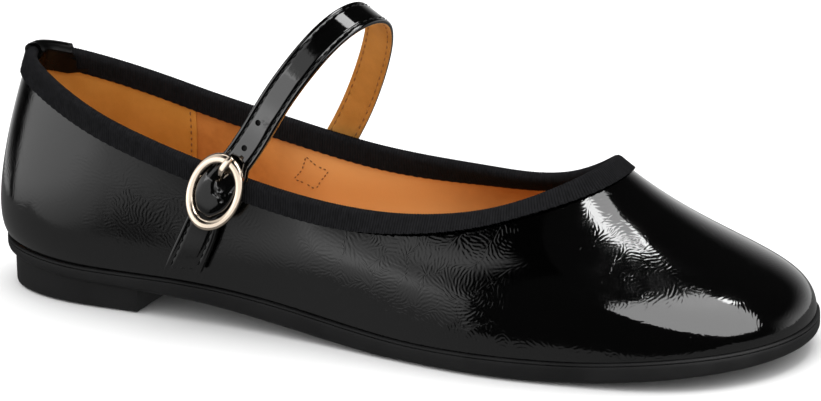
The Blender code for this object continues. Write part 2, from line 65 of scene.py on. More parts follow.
STRAP_WIDTH, STRAP_THICKNESS = 0.0093, 0.0016
STRAP_ORIGIN = np.array([0.0834, -0.0354, 0.0429])
STRAP_RISE = np.array([0.5145, 0.0, 0.8575])
STRAP_ACROSS = np.array([0.1257, 0.9892, -0.0754])
STRAP_EDGE = np.array([0.8482, -0.1466, -0.5089])

CHAPE_HALF_WIDTH, CHAPE_THICKNESS, CHAPE_SLOT_HALF = 0.0042, 0.0006, 0.0012
CHAPE_FOOT, CHAPE_LIFT_START, CHAPE_LIFT_END = -0.0220, 0.0066, 0.0032
BAR_ACROSS, BAR_RADIUS, BAR_CLEAR = 0.0016, 0.0006, 0.0003
QUARTER_SLOPE, QUARTER_ACROSS = -0.088, 0.0042
RING_OUTER_LONG, RING_INNER_LONG = 0.0124, 0.0091
RING_OUTER_SHORT, RING_INNER_SHORT = 0.0085, 0.0062
RING_HALF_THICKNESS, RING_DIP = 0.0010, 0.0005
RING_ACROSS, RING_STEP, RING_LEAN, RING_SWING = -0.0002, 8, 0.03, 0.087
HOLE_RISE, HOLE_ACROSS, HOLE_SWAY = 0.0047, 0.0010, -0.0006


def table(names, rows):
    """A table as arrays by column name; the first column is the place along the piece."""
    return dict(zip(names.split(), np.array(rows).T))


LAST = table(
    "along  outer   inner   feather ground   bulge   rise  spread   drop    collar",
    [[0.000, 0.0238, 0.0272, 0.0144, 0.0100, 0.0069, 0.11, 0.0060, 0.0164, 0.000],
     [0.036, 0.0266, 0.0276, 0.0122, 0.0074, 0.0040, 0.33, 0.0005, 0.0165, 0.205],
     [0.070, 0.0283, 0.0248, 0.0120, 0.0062, 0.0019, 0.49, -0.0021, 0.0178, 0.400],
     [0.105, 0.0318, 0.0270, 0.0092, 0.0024, 0.0020, 0.58, 0.0022, 0.0153, 0.575],
     [0.140, 0.0389, 0.0339, 0.0061, -0.0002, 0.0021, 0.63, 0.0097, 0.0121, 0.720],
     [0.170, 0.0436, 0.0404, 0.0061, -0.0002, 0.0019, 0.61, 0.0153, 0.0122, 0.830],
     [0.200, 0.0425, 0.0410, 0.0069, 0.0007, 0.0011, 0.52, 0.0223, 0.0156, 0.920],
     [0.225, 0.0405, 0.0410, 0.0089, 0.0029, 0.0002, 0.38, 0.0279, 0.0243, 0.965],
     [0.250, 0.0378, 0.0395, 0.0099, 0.0046, 0.0005, 0.39, 0.0336, 0.0307, 1.000]])

COLLAR = table(
    "share outer   inner   outer_z inner_z",
    [[0.00, 0.0179, 0.0175, 0.0683, 0.0683],
     [0.10, 0.0234, 0.0215, 0.0633, 0.0608],
     [0.22, 0.0276, 0.0233, 0.0561, 0.0538],
     [0.38, 0.0303, 0.0239, 0.0481, 0.0471],
     [0.55, 0.0313, 0.0259, 0.0418, 0.0408],
     [0.72, 0.0303, 0.0286, 0.0400, 0.0379],
     [0.87, 0.0259, 0.0284, 0.0437, 0.0395],
     [1.00, 0.0228, 0.0248, 0.0524, 0.0524]])

STRAP = table(
    "step rise    across   twist  width skew  sway",
    [[0,  -0.0300,  0.0046, 0.117, 1.10, 0.73, 0.0014],
     [1,  -0.0255,  0.0041, 0.117, 1.10, 0.62, 0.0012],
     [2,  -0.0210,  0.0037, 0.117, 1.10, 0.48, 0.0010],
     [3,  -0.0165,  0.0034, 0.117, 1.09, 0.33, 0.0007],
     [4,  -0.0130,  0.0031, 0.117, 1.06, 0.20, 0.0004],
     [5,  -0.0095,  0.0021, 0.117, 1.01, 0.08, 0.0002],
     [6,  -0.0062, -0.0006, 0.110, 0.94, 0.00, 0.0000],
     [7,  -0.0030, -0.0010, 0.100, 0.94, 0.00, 0.0000],
     [8,   0.0000, -0.0009, 0.095, 0.94, 0.00, 0.0000],
     [9,   0.0030,  0.0001, 0.090, 0.94, 0.00, 0.0000],
     [10,  0.0062,  0.0019, 0.085, 0.92, 0.00, 0.0000],
     [11,  0.0095,  0.0032, 0.080, 0.98, 0.00, 0.0000],
     [12,  0.0145,  0.0046, 0.070, 1.00, 0.00, 0.0000],
     [13,  0.0225,  0.0056, 0.060, 1.00, 0.00, 0.0000],
     [14,  0.0310,  0.0062, 0.050, 1.00, 0.00, 0.0000],
     [15,  0.0390,  0.0080, 0.045, 1.00, 0.00, 0.0000],
     [16,  0.0465,  0.0111, 0.040, 1.00, 0.00, 0.0000],
     [17,  0.0530,  0.0156, 0.040, 1.00, 0.00, 0.0000],
     [18,  0.0574,  0.0219, 0.045, 1.00, 0.00, 0.0000],
     [19,  0.0589,  0.0294, 0.060, 1.00, 0.00, 0.0000],
     [20,  0.0576,  0.0367, 0.090, 1.00, 0.00, 0.0000],
     [21,  0.0536,  0.0430, 0.130, 1.00, 0.00, 0.0000],
     [22,  0.0470,  0.0485, 0.170, 1.00, 0.00, 0.0000],
     [23,  0.0390,  0.0530, 0.210, 1.00, 0.00, 0.0000],
     [24,  0.0300,  0.0568, 0.240, 1.00, 0.00, 0.0000],
     [25,  0.0210,  0.0596, 0.255, 1.00, 0.00, 0.0000],
     [26,  0.0130,  0.0611, 0.250, 1.00, 0.00, 0.0000],
     [27,  0.0060,  0.0615, 0.240, 1.00, 0.00, 0.0000],
     [28,  0.0005,  0.0614, 0.240, 1.00, 0.00, 0.0000],
     [29, -0.0035,  0.0607, 0.260, 1.00, 0.00, 0.0000],
     [30, -0.0065,  0.0606, 0.290, 1.00, 0.00, 0.0000],
     [31, -0.0100,  0.0610, 0.310, 1.00, 0.00, 0.0000],
     [32, -0.0135,  0.0616, 0.320, 1.00, 0.00, 0.0000]])

PRONG = table(
    "step rise    across   sway",
    [[0,   0.0009,  0.0007, -0.0003],
     [1,   0.0025,  0.0009, -0.0003],
     [2,   0.0040,  0.0006, -0.0005],
     [3,   0.0056, -0.0004, -0.0007],
     [4,   0.0074, -0.0014, -0.0008],
     [5,   0.0094, -0.0017, -0.0007],
     [6,   0.0114, -0.0017, -0.0005],
     [7,   0.0128, -0.0014, -0.0003]])


def smooth(source, name, at):
    """Natural cubic through one column of a table, read at the given places."""
    knots = list(source.values())[0]
    values = source[name]
    step = np.diff(knots)
    count = len(knots)
    system = np.eye(count)
    right = np.zeros(count)
    for i in range(1, count - 1):
        system[i, i - 1:i + 2] = step[i - 1], 2 * (step[i - 1] + step[i]), step[i]
        right[i] = 6 * ((values[i + 1] - values[i]) / step[i] - (values[i] - values[i - 1]) / step[i - 1])
    bend = np.linalg.solve(system, right)
    at = np.clip(at, knots[0], knots[-1])
    k = np.clip(np.searchsorted(knots, at) - 1, 0, count - 2)
    d = at - knots[k]
    slope = (values[k + 1] - values[k]) / step[k] - step[k] * (2 * bend[k] + bend[k + 1]) / 6
    return values[k] + d * slope + d * d * bend[k] / 2 + d ** 3 * (bend[k + 1] - bend[k]) / (6 * step[k])


def by_side(source, outer, inner, at, side):
    """One column of a table for the outer side of the foot, and another for the inner."""
    return np.where(side < 0, smooth(source, outer, at), smooth(source, inner, at))


def unit(vectors):
    return vectors / np.linalg.norm(vectors, axis=-1, keepdims=True)


def read_line(at, run, points):
    """Points of a line at the given places, where run holds the places of its own points."""
    return np.stack([np.interp(at, run, points[:, axis]) for axis in range(3)], axis=1)


def station(turn):
    """Place along the last and side of the foot for a turn: 0 at the heel, outer side first, pi at the
    toe."""
    turn = np.asarray(turn) % (2 * np.pi)
    return LAST_LENGTH / 2 * (1 - np.cos(turn)), np.where(turn <= np.pi, -1.0, 1.0)


def feather_loop(turn):
    """The line where the upper meets the sole, at each turn."""
    along, side = station(turn)
    heel = np.clip((HEEL_ROUND - along) / HEEL_ROUND, 0, 1)
    toe = np.clip((along - TOE_ROUND_START) / (LAST_LENGTH - TOE_ROUND_START), 0, 1)
    close = (1 - heel ** HEEL_POWER) ** (1 / HEEL_POWER) * np.sqrt(1 - toe ** TOE_POWER)
    half = by_side(LAST, "outer", "inner", along, side) * close
    swing = TOE_SWING * (along / LAST_LENGTH) ** 3
    return np.stack([along, side * half + swing, smooth(LAST, "feather", along)], axis=1)


def collar_loop(turn):
    """The rim of the upper, at each turn."""
    along, side = station(turn)
    share = np.clip(smooth(LAST, "collar", along), 0, 1)
    back = np.clip((COLLAR_BACK_SHARE - share) / COLLAR_BACK_SHARE, 0, 1)
    throat = np.clip((share - 1 + COLLAR_THROAT_SHARE) / COLLAR_THROAT_SHARE, 0, 1)
    close = (1 - back ** COLLAR_BACK_POWER) ** (1 / COLLAR_BACK_POWER)
    close *= (1 - throat ** COLLAR_THROAT_POWER) ** (1 / COLLAR_THROAT_POWER)
    half = by_side(COLLAR, "outer", "inner", share, side) * close
    x = COLLAR_BACK + (COLLAR_THROAT - COLLAR_BACK) * share
    z = by_side(COLLAR, "outer_z", "inner_z", share, side)
    return np.stack([x, side * half + COLLAR_SWING, z], axis=1)


def plan_outward(loop):
    """Outward directions of a closed loop, seen from above."""
    run = np.roll(loop, -1, axis=0) - np.roll(loop, 1, axis=0)
    return unit(np.stack([run[:, 1], -run[:, 0]], axis=1))


def offset_loop(loop, distance, z):
    """A loop moved outwards in plan to a new height."""
    moved = loop.copy()
    moved[:, :2] += plan_outward(loop) * distance
    moved[:, 2] = z
    return moved


def even_turns(loop_of, count, dense=4000):
    """Turns that space a closed loop evenly along its length, and that length."""
    turn = np.linspace(0, 2 * np.pi, dense + 1)
    loop = loop_of(turn[:-1])
    length = np.concatenate([[0], np.cumsum(np.linalg.norm(np.roll(loop, -1, axis=0) - loop, axis=1))])
    return np.interp(np.linspace(0, length[-1], count, endpoint=False), length, turn), length[-1]


def wall_grid(turn, climb):
    """The upper's outer face: one curved column for each turn, read at each climb from 0 to 1."""
    along, _ = station(turn)
    foot = feather_loop(turn)
    rim = collar_loop(turn)
    start = foot.copy()
    start[:, :2] += plan_outward(foot) * smooth(LAST, "bulge", along)[:, None]
    start[:, 2] += (rim[:, 2] - foot[:, 2]) * smooth(LAST, "rise", along)
    end = rim.copy()
    end[:, :2] += plan_outward(rim) * smooth(LAST, "spread", along)[:, None]
    end[:, 2] -= smooth(LAST, "drop", along)
    t = np.asarray(climb)[None, :, None]
    foot, start, end, rim = (p[:, None, :] for p in (foot, start, end, rim))
    return (1 - t) ** 3 * foot + 3 * t * (1 - t) ** 2 * start + 3 * t * t * (1 - t) * end + t ** 3 * rim


def grid_normals(grid):
    """Outward normals of a grid that runs all round the shoe and upwards."""
    round_it = np.roll(grid, -1, axis=0) - np.roll(grid, 1, axis=0)
    return unit(np.cross(round_it, np.gradient(grid, axis=1)))


def rim_frame(turn, depths):
    """Points and normals of the outer face at depths below the rim, and the rim's upward direction."""
    grid = wall_grid(turn, np.linspace(0.4, 1, 61))
    normal = grid_normals(grid)
    step = np.linalg.norm(np.diff(grid, axis=1), axis=2)
    below = np.concatenate([np.cumsum(step[:, ::-1], axis=1)[:, ::-1], np.zeros((len(grid), 1))], axis=1)
    points, normals = (
        np.stack([read_line(depths, run[::-1], column[::-1]) for run, column in zip(below, values)])
        for values in (grid, normal))
    return points, unit(normals), unit(grid[:, -1] - grid[:, -3])


def strap_point(rise, across, sway=0.0):
    """A point in the strap's own directions, measured from the buckle's middle."""
    return (STRAP_ORIGIN + np.multiply.outer(rise, STRAP_RISE) + np.multiply.outer(across, STRAP_ACROSS)
            + np.multiply.outer(sway, STRAP_EDGE))


def strap_frame(step):
    """Middle line of the strap, its direction across the width (whole width) and inwards."""
    centre = strap_point(*(smooth(STRAP, name, step) for name in ("rise", "across", "sway")))
    edge = (STRAP_EDGE + np.multiply.outer(smooth(STRAP, "twist", step), STRAP_ACROSS)
            + np.multiply.outer(smooth(STRAP, "skew", step), STRAP_RISE))
    width = smooth(STRAP, "width", step)[:, None]
    inward = unit(np.cross(unit(np.gradient(centre, axis=0)), edge))
    return centre, edge * width, inward


# ---------------------------------------------------------------- modelling helpers

def clear_selection():
    bpy.ops.object.select_all(action="DESELECT")


def take(piece):
    """Makes one piece the only selected and active one."""
    clear_selection()
    piece.select_set(True)
    bpy.context.view_layer.objects.active = piece
    return piece


def edit(piece, *steps):
    """Runs edit-mode operators on the whole mesh, each given as a function."""
    take(piece)
    bpy.ops.object.mode_set(mode="EDIT")
    for step in steps:
        bpy.ops.mesh.select_all(action="SELECT")
        step()
    bpy.ops.object.mode_set(mode="OBJECT")


def merge_doubles():
    bpy.ops.mesh.remove_doubles(threshold=1e-6)


def outward_faces():
    bpy.ops.mesh.normals_make_consistent(inside=False)


def apply_modifier(piece, kind, **settings):
    take(piece)
    change = piece.modifiers.new(kind.title(), kind)
    for key, value in settings.items():
        setattr(change, key, value)
    bpy.ops.object.modifier_apply(modifier=change.name)


def set_points(piece, points):
    piece.data.vertices.foreach_set("co", np.asarray(points, np.float32).ravel())
    piece.data.update()


def get_points(piece):
    points = np.empty(len(piece.data.vertices) * 3, np.float32)
    piece.data.vertices.foreach_get("co", points)
    return points.reshape(-1, 3).astype(float)


def form_sheet(name, grid, thickness=0.0):
    """A grid primitive laid on a form: grid[i, j] are its points, closed where first and last rows meet."""
    clear_selection()
    bpy.ops.mesh.primitive_grid_add(x_subdivisions=grid.shape[0] - 1, y_subdivisions=grid.shape[1] - 1)
    piece = bpy.context.object
    piece.name = piece.data.name = name
    set_points(piece, np.swapaxes(grid, 0, 1).reshape(-1, 3) - ORIGIN)
    edit(piece, merge_doubles)
    if thickness:
        apply_modifier(piece, "SOLIDIFY", thickness=thickness, offset=-1.0, use_even_offset=True)
    edit(piece, outward_faces)
    return piece


def closed_round(grid):
    """Repeats the first column, so that a sheet closes round the shoe."""
    return np.concatenate([grid, grid[:1]], axis=0)


def put_lid(piece, ring):
    """Fills the open end of a piece that runs through the given points."""
    take(piece)
    bpy.ops.object.mode_set(mode="EDIT")
    bpy.ops.mesh.select_all(action="DESELECT")
    bpy.ops.object.mode_set(mode="OBJECT")
    points = get_points(piece)
    near = np.array([np.abs(ring - ORIGIN - p).sum(axis=1).min() < 1e-5 for p in points])
    piece.data.vertices.foreach_set("select", near)
    bpy.ops.object.mode_set(mode="EDIT")
    bpy.ops.mesh.fill()
    bpy.ops.object.mode_set(mode="OBJECT")


def capped_tube(name, grid):
    """A sheet whose columns close on themselves, with a lid over its first row and its last."""
    piece = form_sheet(name, grid)
    for end in (grid[0], grid[-1]):
        put_lid(piece, end)
    edit(piece, outward_faces)
    return piece


def combine(piece, other, operation):
    """Joins another closed piece to this one, or cuts it away, and uses it up."""
    apply_modifier(piece, "BOOLEAN", operation=operation, object=other, solver="MANIFOLD")
    bpy.data.objects.remove(other)


def finish_piece(piece, finish, slot, *nodes, angle=40):
    """Last steps for every piece: smooth shading, its material, its body and what it stands for."""
    take(piece)
    bpy.ops.object.transform_apply(location=True, rotation=True, scale=True)
    bpy.ops.object.shade_smooth_by_angle(angle=math.radians(angle))
    piece.data.materials.clear()
    piece.data.materials.append(finish)
    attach(piece, "root")
    if nodes:
        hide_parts(*nodes)
    return piece


# ---------------------------------------------------------------- node groups and materials

def new_group(name, inputs, outputs):
    """An empty node group with named sockets; each is (name, socket type, value)."""
    group = bpy.data.node_groups.new(name, "ShaderNodeTree")
    for label, kind, value in inputs:
        socket = group.interface.new_socket(label, in_out="INPUT", socket_type=kind)
        if value is not None:
            socket.default_value = value
    for label, kind in outputs:
        group.interface.new_socket(label, in_out="OUTPUT", socket_type=kind)
    return group, group.nodes.new("NodeGroupInput"), group.nodes.new("NodeGroupOutput")


class Wiring:
    """Short calls for adding and linking nodes in one tree."""

    def __init__(self, tree):
        self.tree = tree

    def link(self, source, target):
        self.tree.links.new(source, target)

    def add(self, kind, values=None, **settings):
        """A node with its settings; values go to its sockets, as links where they are outputs of others."""
        node = self.tree.nodes.new(kind)
        for key, value in settings.items():
            setattr(node, key, value)
        for key, value in (values or {}).items():
            if hasattr(value, "is_output"):
                self.link(value, node.inputs[key])
            else:
                node.inputs[key].default_value = value
        return node

    def math(self, operation, a, b=0.0, c=0.0):
        return self.add("ShaderNodeMath", {0: a, 1: b, 2: c}, operation=operation).outputs[0]

    def vector(self, operation, a, b=(0, 0, 0)):
        return self.add("ShaderNodeVectorMath", {0: a, 1: b}, operation=operation).outputs["Vector"]

    def place(self):
        """The point's place on its piece, in metres."""
        return self.add("ShaderNodeTexCoord").outputs["Object"]

    def axes(self, vector):
        parts = self.add("ShaderNodeSeparateXYZ", {"Vector": vector}).outputs
        return parts["X"], parts["Y"], parts["Z"]

    def noise(self, vector, scale, detail=2.0, rough=0.5):
        return self.add("ShaderNodeTexNoise", {"Vector": vector, "Scale": scale, "Detail": detail,
                                               "Roughness": rough})

    def ranged(self, value, low, high, to_low=0.0, to_high=1.0, smoothly=True):
        return self.add("ShaderNodeMapRange", {"Value": value, "From Min": low, "From Max": high,
                                               "To Min": to_low, "To Max": to_high},
                        interpolation_type="SMOOTHSTEP" if smoothly else "LINEAR").outputs[0]

    def mix(self, factor, a, b):
        """A colour between two."""
        return self.add("ShaderNodeMix", {0: factor, 6: a, 7: b}, data_type="RGBA").outputs[2]

    def bump(self, height, strength, distance, normal=None):
        values = {"Height": height, "Strength": strength, "Distance": distance}
        if normal is not None:
            values["Normal"] = normal
        return self.add("ShaderNodeBump", values).outputs["Normal"]


RIDGES, SWIRL = 870.0, 85.0             # of the crinkle, in each metre
RIDGE_CELL = 0.42                       # noise cells to each ridge
CRINKLE_RELIEF = 0.000036
HEEL_CRINKLE, TOE_CRINKLE = 0.3, 0.31   # shares of its depth that are left at the two ends


def crinkle_group():
    """Fingerprint-like ridges whose direction swirls: their height, and where they are strongest."""
    group, given, result = new_group(
        "crinkle",
        [("Ridges per metre", "NodeSocketFloat", RIDGES), ("Swirl per metre", "NodeSocketFloat", SWIRL)],
        [("Height", "NodeSocketFloat"), ("Strength", "NodeSocketFloat"), ("Forward", "NodeSocketFloat")])
    w = Wiring(group)
    place = w.place()
    normal = w.add("ShaderNodeNewGeometry").outputs["True Normal"]
    swirl = w.noise(place, given.outputs["Swirl per metre"], 1.0).outputs["Color"]
    heading = w.vector("CROSS_PRODUCT", normal, w.vector("SUBTRACT", swirl, (0.5, 0.5, 0.5)))
    heading = w.vector("NORMALIZE", heading)
    cells = w.math("MULTIPLY", given.outputs["Ridges per metre"], RIDGE_CELL)
    ridges = w.add("ShaderNodeTexGabor", {
        "Vector": place, "Scale": cells, "Frequency": 1 / RIDGE_CELL, "Anisotropy": 0.8,
        "Orientation": heading}, gabor_type="3D")
    w.link(w.ranged(ridges.outputs["Value"], 0.25, 0.75), result.inputs["Height"])
    patches = w.noise(w.vector("ADD", place, (3.1, 1.7, 0.4)), 70.0, 2.0).outputs["Fac"]
    along = w.axes(place)[0]
    w.link(w.ranged(along, -0.06, 0.0), result.inputs["Forward"])
    deep = w.math("MULTIPLY", w.ranged(along, -0.035, 0.026, HEEL_CRINKLE, 1.0),
                  w.ranged(along, 0.048, 0.064, 1.0, TOE_CRINKLE))
    w.link(w.math("MULTIPLY", w.ranged(patches, 0.32, 0.62, 0.6, 1.0), deep), result.inputs["Strength"])
    return group


def grain_group():
    """Fine pores and soft mottling for leather and moulded rubber."""
    group, given, result = new_group(
        "grain",
        [("Pores per metre", "NodeSocketFloat", 2400.0), ("Mottle per metre", "NodeSocketFloat", 90.0)],
        [("Height", "NodeSocketFloat"), ("Mottle", "NodeSocketFloat")])
    w = Wiring(group)
    place = w.place()
    pores = w.add("ShaderNodeTexVoronoi", {"Vector": place, "Scale": given.outputs["Pores per metre"]},
                  feature="SMOOTH_F1")
    fine = w.noise(place, given.outputs["Pores per metre"], 3.0).outputs["Fac"]
    w.link(w.math("MULTIPLY_ADD", pores.outputs["Distance"], 0.6, fine), result.inputs["Height"])
    mottle = w.noise(place, given.outputs["Mottle per metre"], 4.0, 0.6).outputs["Fac"]
    w.link(w.ranged(mottle, 0.3, 0.7), result.inputs["Mottle"])
    return group


def new_material(name, **constants):
    """A material with one Principled shader; constants are set on its sockets by name."""
    made = bpy.data.materials.new(name)
    made.use_nodes = True
    shader = made.node_tree.nodes["Principled BSDF"]
    for key, value in constants.items():
        shader.inputs[key.replace("_", " ")].default_value = value
    return made, Wiring(made.node_tree), shader


def place_group(w, group, **values):
    """A node group in a tree, with values on its sockets by name."""
    node = w.add("ShaderNodeGroup")
    node.node_tree = group
    for key, value in values.items():
        node.inputs[key.replace("_", " ")].default_value = value
    return node


def patent_material(name, grain, crinkle=None):
    """Black patent: one deep gloss over a near-black base, broken up by a fine grain and by the crinkle.
    Where it is crinkled its gloss is a little softer at the heel."""
    made, w, shader = new_material(
        name, Base_Color=(0.0006, 0.0006, 0.0006, 1), Roughness=0.06, IOR=1.5, Specular_IOR_Level=1.0)
    fine = place_group(w, grain, Pores_per_metre=900.0, Mottle_per_metre=160.0)
    normal = w.bump(fine.outputs["Height"], 0.5, 0.000012)
    roughness = w.ranged(fine.outputs["Mottle"], 0, 1, 0.05, 0.085)
    if crinkle:
        pattern = place_group(w, crinkle)
        depth = w.math("MULTIPLY", pattern.outputs["Height"], pattern.outputs["Strength"])
        normal = w.bump(depth, 1.0, CRINKLE_RELIEF, normal)
        roughness = w.math("ADD", roughness, w.ranged(pattern.outputs["Forward"], 0, 1, 0.06, 0.0))
    w.link(roughness, shader.inputs["Roughness"])
    w.link(normal, shader.inputs["Normal"])
    return made


def grained_material(name, grain, scales, tones, roughness, relief, painted_sheen=None, **constants):
    """A pored and mottled surface. Scales are its pores and its mottle per metre; tones and roughness go from
    their first value to their second with the mottle; relief is its strength and depth. A third, paler tone
    is painted sheen, laid over a stretch of the piece's length."""
    made, w, shader = new_material(name, **constants)
    pattern = place_group(w, grain, Pores_per_metre=scales[0], Mottle_per_metre=scales[1])
    if tones:
        colour = w.mix(pattern.outputs["Mottle"], *tones)
        # painted sheen: the colour goes to a paler tone over a stretch of the piece's length
        if painted_sheen:
            along = w.axes(w.place())[0]
            share = w.math("MULTIPLY", w.ranged(along, *SHEEN_BACK), w.ranged(along, *SHEEN_FRONT))
            colour = w.mix(share, colour, painted_sheen)
        w.link(colour, shader.inputs["Base Color"])
    if roughness:
        w.link(w.ranged(pattern.outputs["Mottle"], 0, 1, *roughness), shader.inputs["Roughness"])
    w.link(w.bump(pattern.outputs["Height"], *relief), shader.inputs["Normal"])
    return made


SHEEN_BACK, SHEEN_FRONT = (-0.058, -0.03), (0.025, -0.012)     # where the painted sheen on the lining fades out


def tab_material(grain):
    """The back tab's leather, less glossy than the rest."""
    return grained_material("tab leather", grain, (900.0, 160.0), None, (0.26, 0.36), (0.5, 0.00002),
                            Base_Color=(0.0008, 0.0008, 0.0008, 1), Roughness=0.3, Specular_IOR_Level=0.12)


def lining_material(name, grain, tones, painted_sheen=None):
    """Soft leather, which may carry a painted sheen."""
    return grained_material(name, grain, (2100.0, 110.0), tones, (0.48, 0.6), (0.4, 0.0001), painted_sheen,
                            Roughness=0.55, Specular_IOR_Level=0.3)


def ribbon_material(name, grain, dark, light):
    """Woven ribbon, a little bluish, between two levels of grey."""
    tones = [(level, level, level * 1.1, 1) for level in (dark, light)]
    return grained_material(name, grain, (5200.0, 700.0), tones, None, (0.5, 0.00005),
                            Roughness=0.85, Specular_IOR_Level=0.03)


def rubber_material(grain):
    """Matte moulded rubber, slightly mottled."""
    tones = (0.0045, 0.0045, 0.0048, 1), (0.0072, 0.0072, 0.0075, 1)
    return grained_material("black rubber", grain, (3000.0, 60.0), tones, (0.52, 0.66), (0.3, 0.00005),
                            Roughness=0.6, Specular_IOR_Level=0.35)


def thread_material(name, colour):
    """Thread whose colour is painted darker where its twist's bump is low: painted shade in the hollows of
    the twist.
    """
    made, w, shader = new_material(name, Roughness=0.6, Specular_IOR_Level=0.3)
    twist = w.noise(w.place(), 2600.0, 1.0).outputs["Fac"]
    # painted shade: the colour drops to 70% where the twist's bump is low
    dark = (*[c * 0.7 for c in colour], 1)
    w.link(w.mix(twist, dark, (*colour, 1)), shader.inputs["Base Color"])
    w.link(w.bump(twist, 0.4, 0.00006), shader.inputs["Normal"])
    return made


def gold_material():
    """Polished pale gold with a slight haze."""
    made, w, shader = new_material("pale gold", Metallic=1.0, Roughness=0.12)
    haze = w.noise(w.place(), 420.0, 3.0).outputs["Fac"]
    w.link(w.mix(haze, (0.90, 0.74, 0.58, 1), (0.95, 0.81, 0.67, 1)), shader.inputs["Base Color"])
    w.link(w.ranged(haze, 0.3, 0.7, 0.1, 0.2), shader.inputs["Roughness"])
    return made


# ---------------------------------------------------------------- the upper and its lining

UPPER_COLUMNS, UPPER_ROWS = 460, 84
UPPER_LIFT = 0.0002                 # the patent's lower edge above the feather line
LINING_CLIMB = (0.03, 0.985)        # shares of the wall's height between which it is lined
LINING_COLUMNS, LINING_ROWS, HEEL_COLUMNS = 360, 40, 120
LINING_GAP = 0.00005                # between the patent and each layer on it
SEAM_TURN, SEAM_LEAN = -0.8785, 0.064

SEAM_STITCH = {"pitch": 0.0021, "length": 0.0013, "radius": 0.00022}
SEAM_STITCH_TURN, SEAM_STITCH_CLIMBS = 0.0175, (0.94, 0.2)      # behind the seam, and from where to where
STAR_STITCH = {"pitch": 0.0014, "length": 0.0009, "radius": 0.0002}
STAR_MIDDLE = np.array([-1.1816, 0.6605])                       # turn and climb, on the inner side
STAR_ACROSS, STAR_UP = np.array([-0.0343, -0.0372]), np.array([-0.0045, 0.1263])
STAR = ((-1, -1), (0, -0.86), (1, -1), (0.86, 0), (1, 1), (0, 0.86), (-1, 1), (-0.86, 0), (-1, -1))

SOCK_CLEAR, SOCK_THICKNESS = 0.0007, 0.0018     # from the wall
SOCK_RISE, SOCK_DISH = 0.0019, 0.0004           # over the feather line at its middle, and more at its edges


def upper_shell(finish):
    """The patent of vamp and quarters, laid on the whole form of the upper."""
    turn, _ = even_turns(feather_loop, UPPER_COLUMNS)
    grid = wall_grid(turn, np.linspace(0, 1, UPPER_ROWS))
    grid[:, 0, 2] += UPPER_LIFT
    shell = form_sheet("upper_patent", closed_round(grid), PATENT)
    return finish_piece(shell, finish, "patent", "upper", angle=60)


def inner_grid(turn, climb, depth):
    """The wall's inner face moved inwards to a depth below the outer face."""
    full = np.linspace(0, 2 * np.pi, 720, endpoint=False)
    outer = wall_grid(full, climb)
    inner = outer - grid_normals(outer) * depth
    wrapped = closed_round(inner)
    turns = np.append(full, 2 * np.pi)
    return np.stack([read_line(turn % (2 * np.pi), turns, wrapped[:, j]) for j in range(len(climb))], axis=1)


def read_grid(grid, i, j):
    """Points between the rows and columns of a grid."""
    i0 = np.clip(np.floor(i).astype(int), 0, grid.shape[0] - 2)
    j0 = np.clip(np.floor(j).astype(int), 0, grid.shape[1] - 2)
    u, v = (i - i0)[:, None], (j - j0)[:, None]
    return ((grid[i0, j0] * (1 - u) + grid[i0 + 1, j0] * u) * (1 - v)
            + (grid[i0, j0 + 1] * (1 - u) + grid[i0 + 1, j0 + 1] * u) * v)


def seam_at(climb):
    """Turn at which the heel lining ends on the inner side: its front edge leans a little."""
    return SEAM_TURN + SEAM_LEAN * climb


def linings(front_finish, heel_finish):
    """The front lining all round the wall, and the heel's lining over it, as far forward as its seams."""
    climb = np.linspace(*LINING_CLIMB, LINING_ROWS)
    turn, _ = even_turns(feather_loop, LINING_COLUMNS)
    front = form_sheet("lining_front", closed_round(inner_grid(turn, climb, PATENT + LINING_GAP)), LINING)
    finish_piece(front, front_finish, "lining", angle=60)
    whole = inner_grid(np.linspace(-1, 1, HEEL_COLUMNS), climb, PATENT + LINING + 2 * LINING_GAP)
    columns = []
    for j, height in enumerate(climb):
        edge = seam_at(height)
        places = (np.linspace(edge, -edge, HEEL_COLUMNS) + 1) / 2 * (HEEL_COLUMNS - 1)
        columns.append(read_grid(whole, places, np.full(HEEL_COLUMNS, float(j))))
    heel = form_sheet("lining_heel", np.stack(columns, axis=1), LINING)
    finish_piece(heel, heel_finish, "lining", angle=60)


def lining_lines(name, corners, depth, finish, stitch, count=80, margin=0.01):
    """Stitches on the lining along straight runs between corners, each a (turn, climb)."""
    corners = np.array(corners)
    low, high = corners.min(axis=0) - margin, corners.max(axis=0) + margin
    turns, climbs = np.linspace(low[0], high[0], count), np.linspace(low[1], high[1], count)
    grid = inner_grid(turns, climbs, depth)
    into = unit(inner_grid(turns, climbs, depth + 0.0005) - grid)
    places = (corners - low) / (high - low) * (count - 1)
    rows = []
    for a, b in zip(places, places[1:]):
        i, j = (np.linspace(a[k], b[k], 60) for k in (0, 1))
        rows.append(dashes(read_grid(grid, i, j), read_grid(into, i, j), stitch))
    stitch_row(name, [np.concatenate(parts) for parts in zip(*rows)], stitch, finish, "lining")


def lining_stitches(finish):
    """The row behind the seam, and the bar-tack star in front of it."""
    seam = [(seam_at(climb) + SEAM_STITCH_TURN, climb) for climb in SEAM_STITCH_CLIMBS]
    lining_lines("lining_seam_stitches", seam, PATENT + 2 * LINING + 0.00012, finish, SEAM_STITCH)
    star = [STAR_MIDDLE + a * STAR_ACROSS + b * STAR_UP for a, b in STAR]
    lining_lines("lining_star_stitches", star, PATENT + LINING + 0.00008, finish, STAR_STITCH)


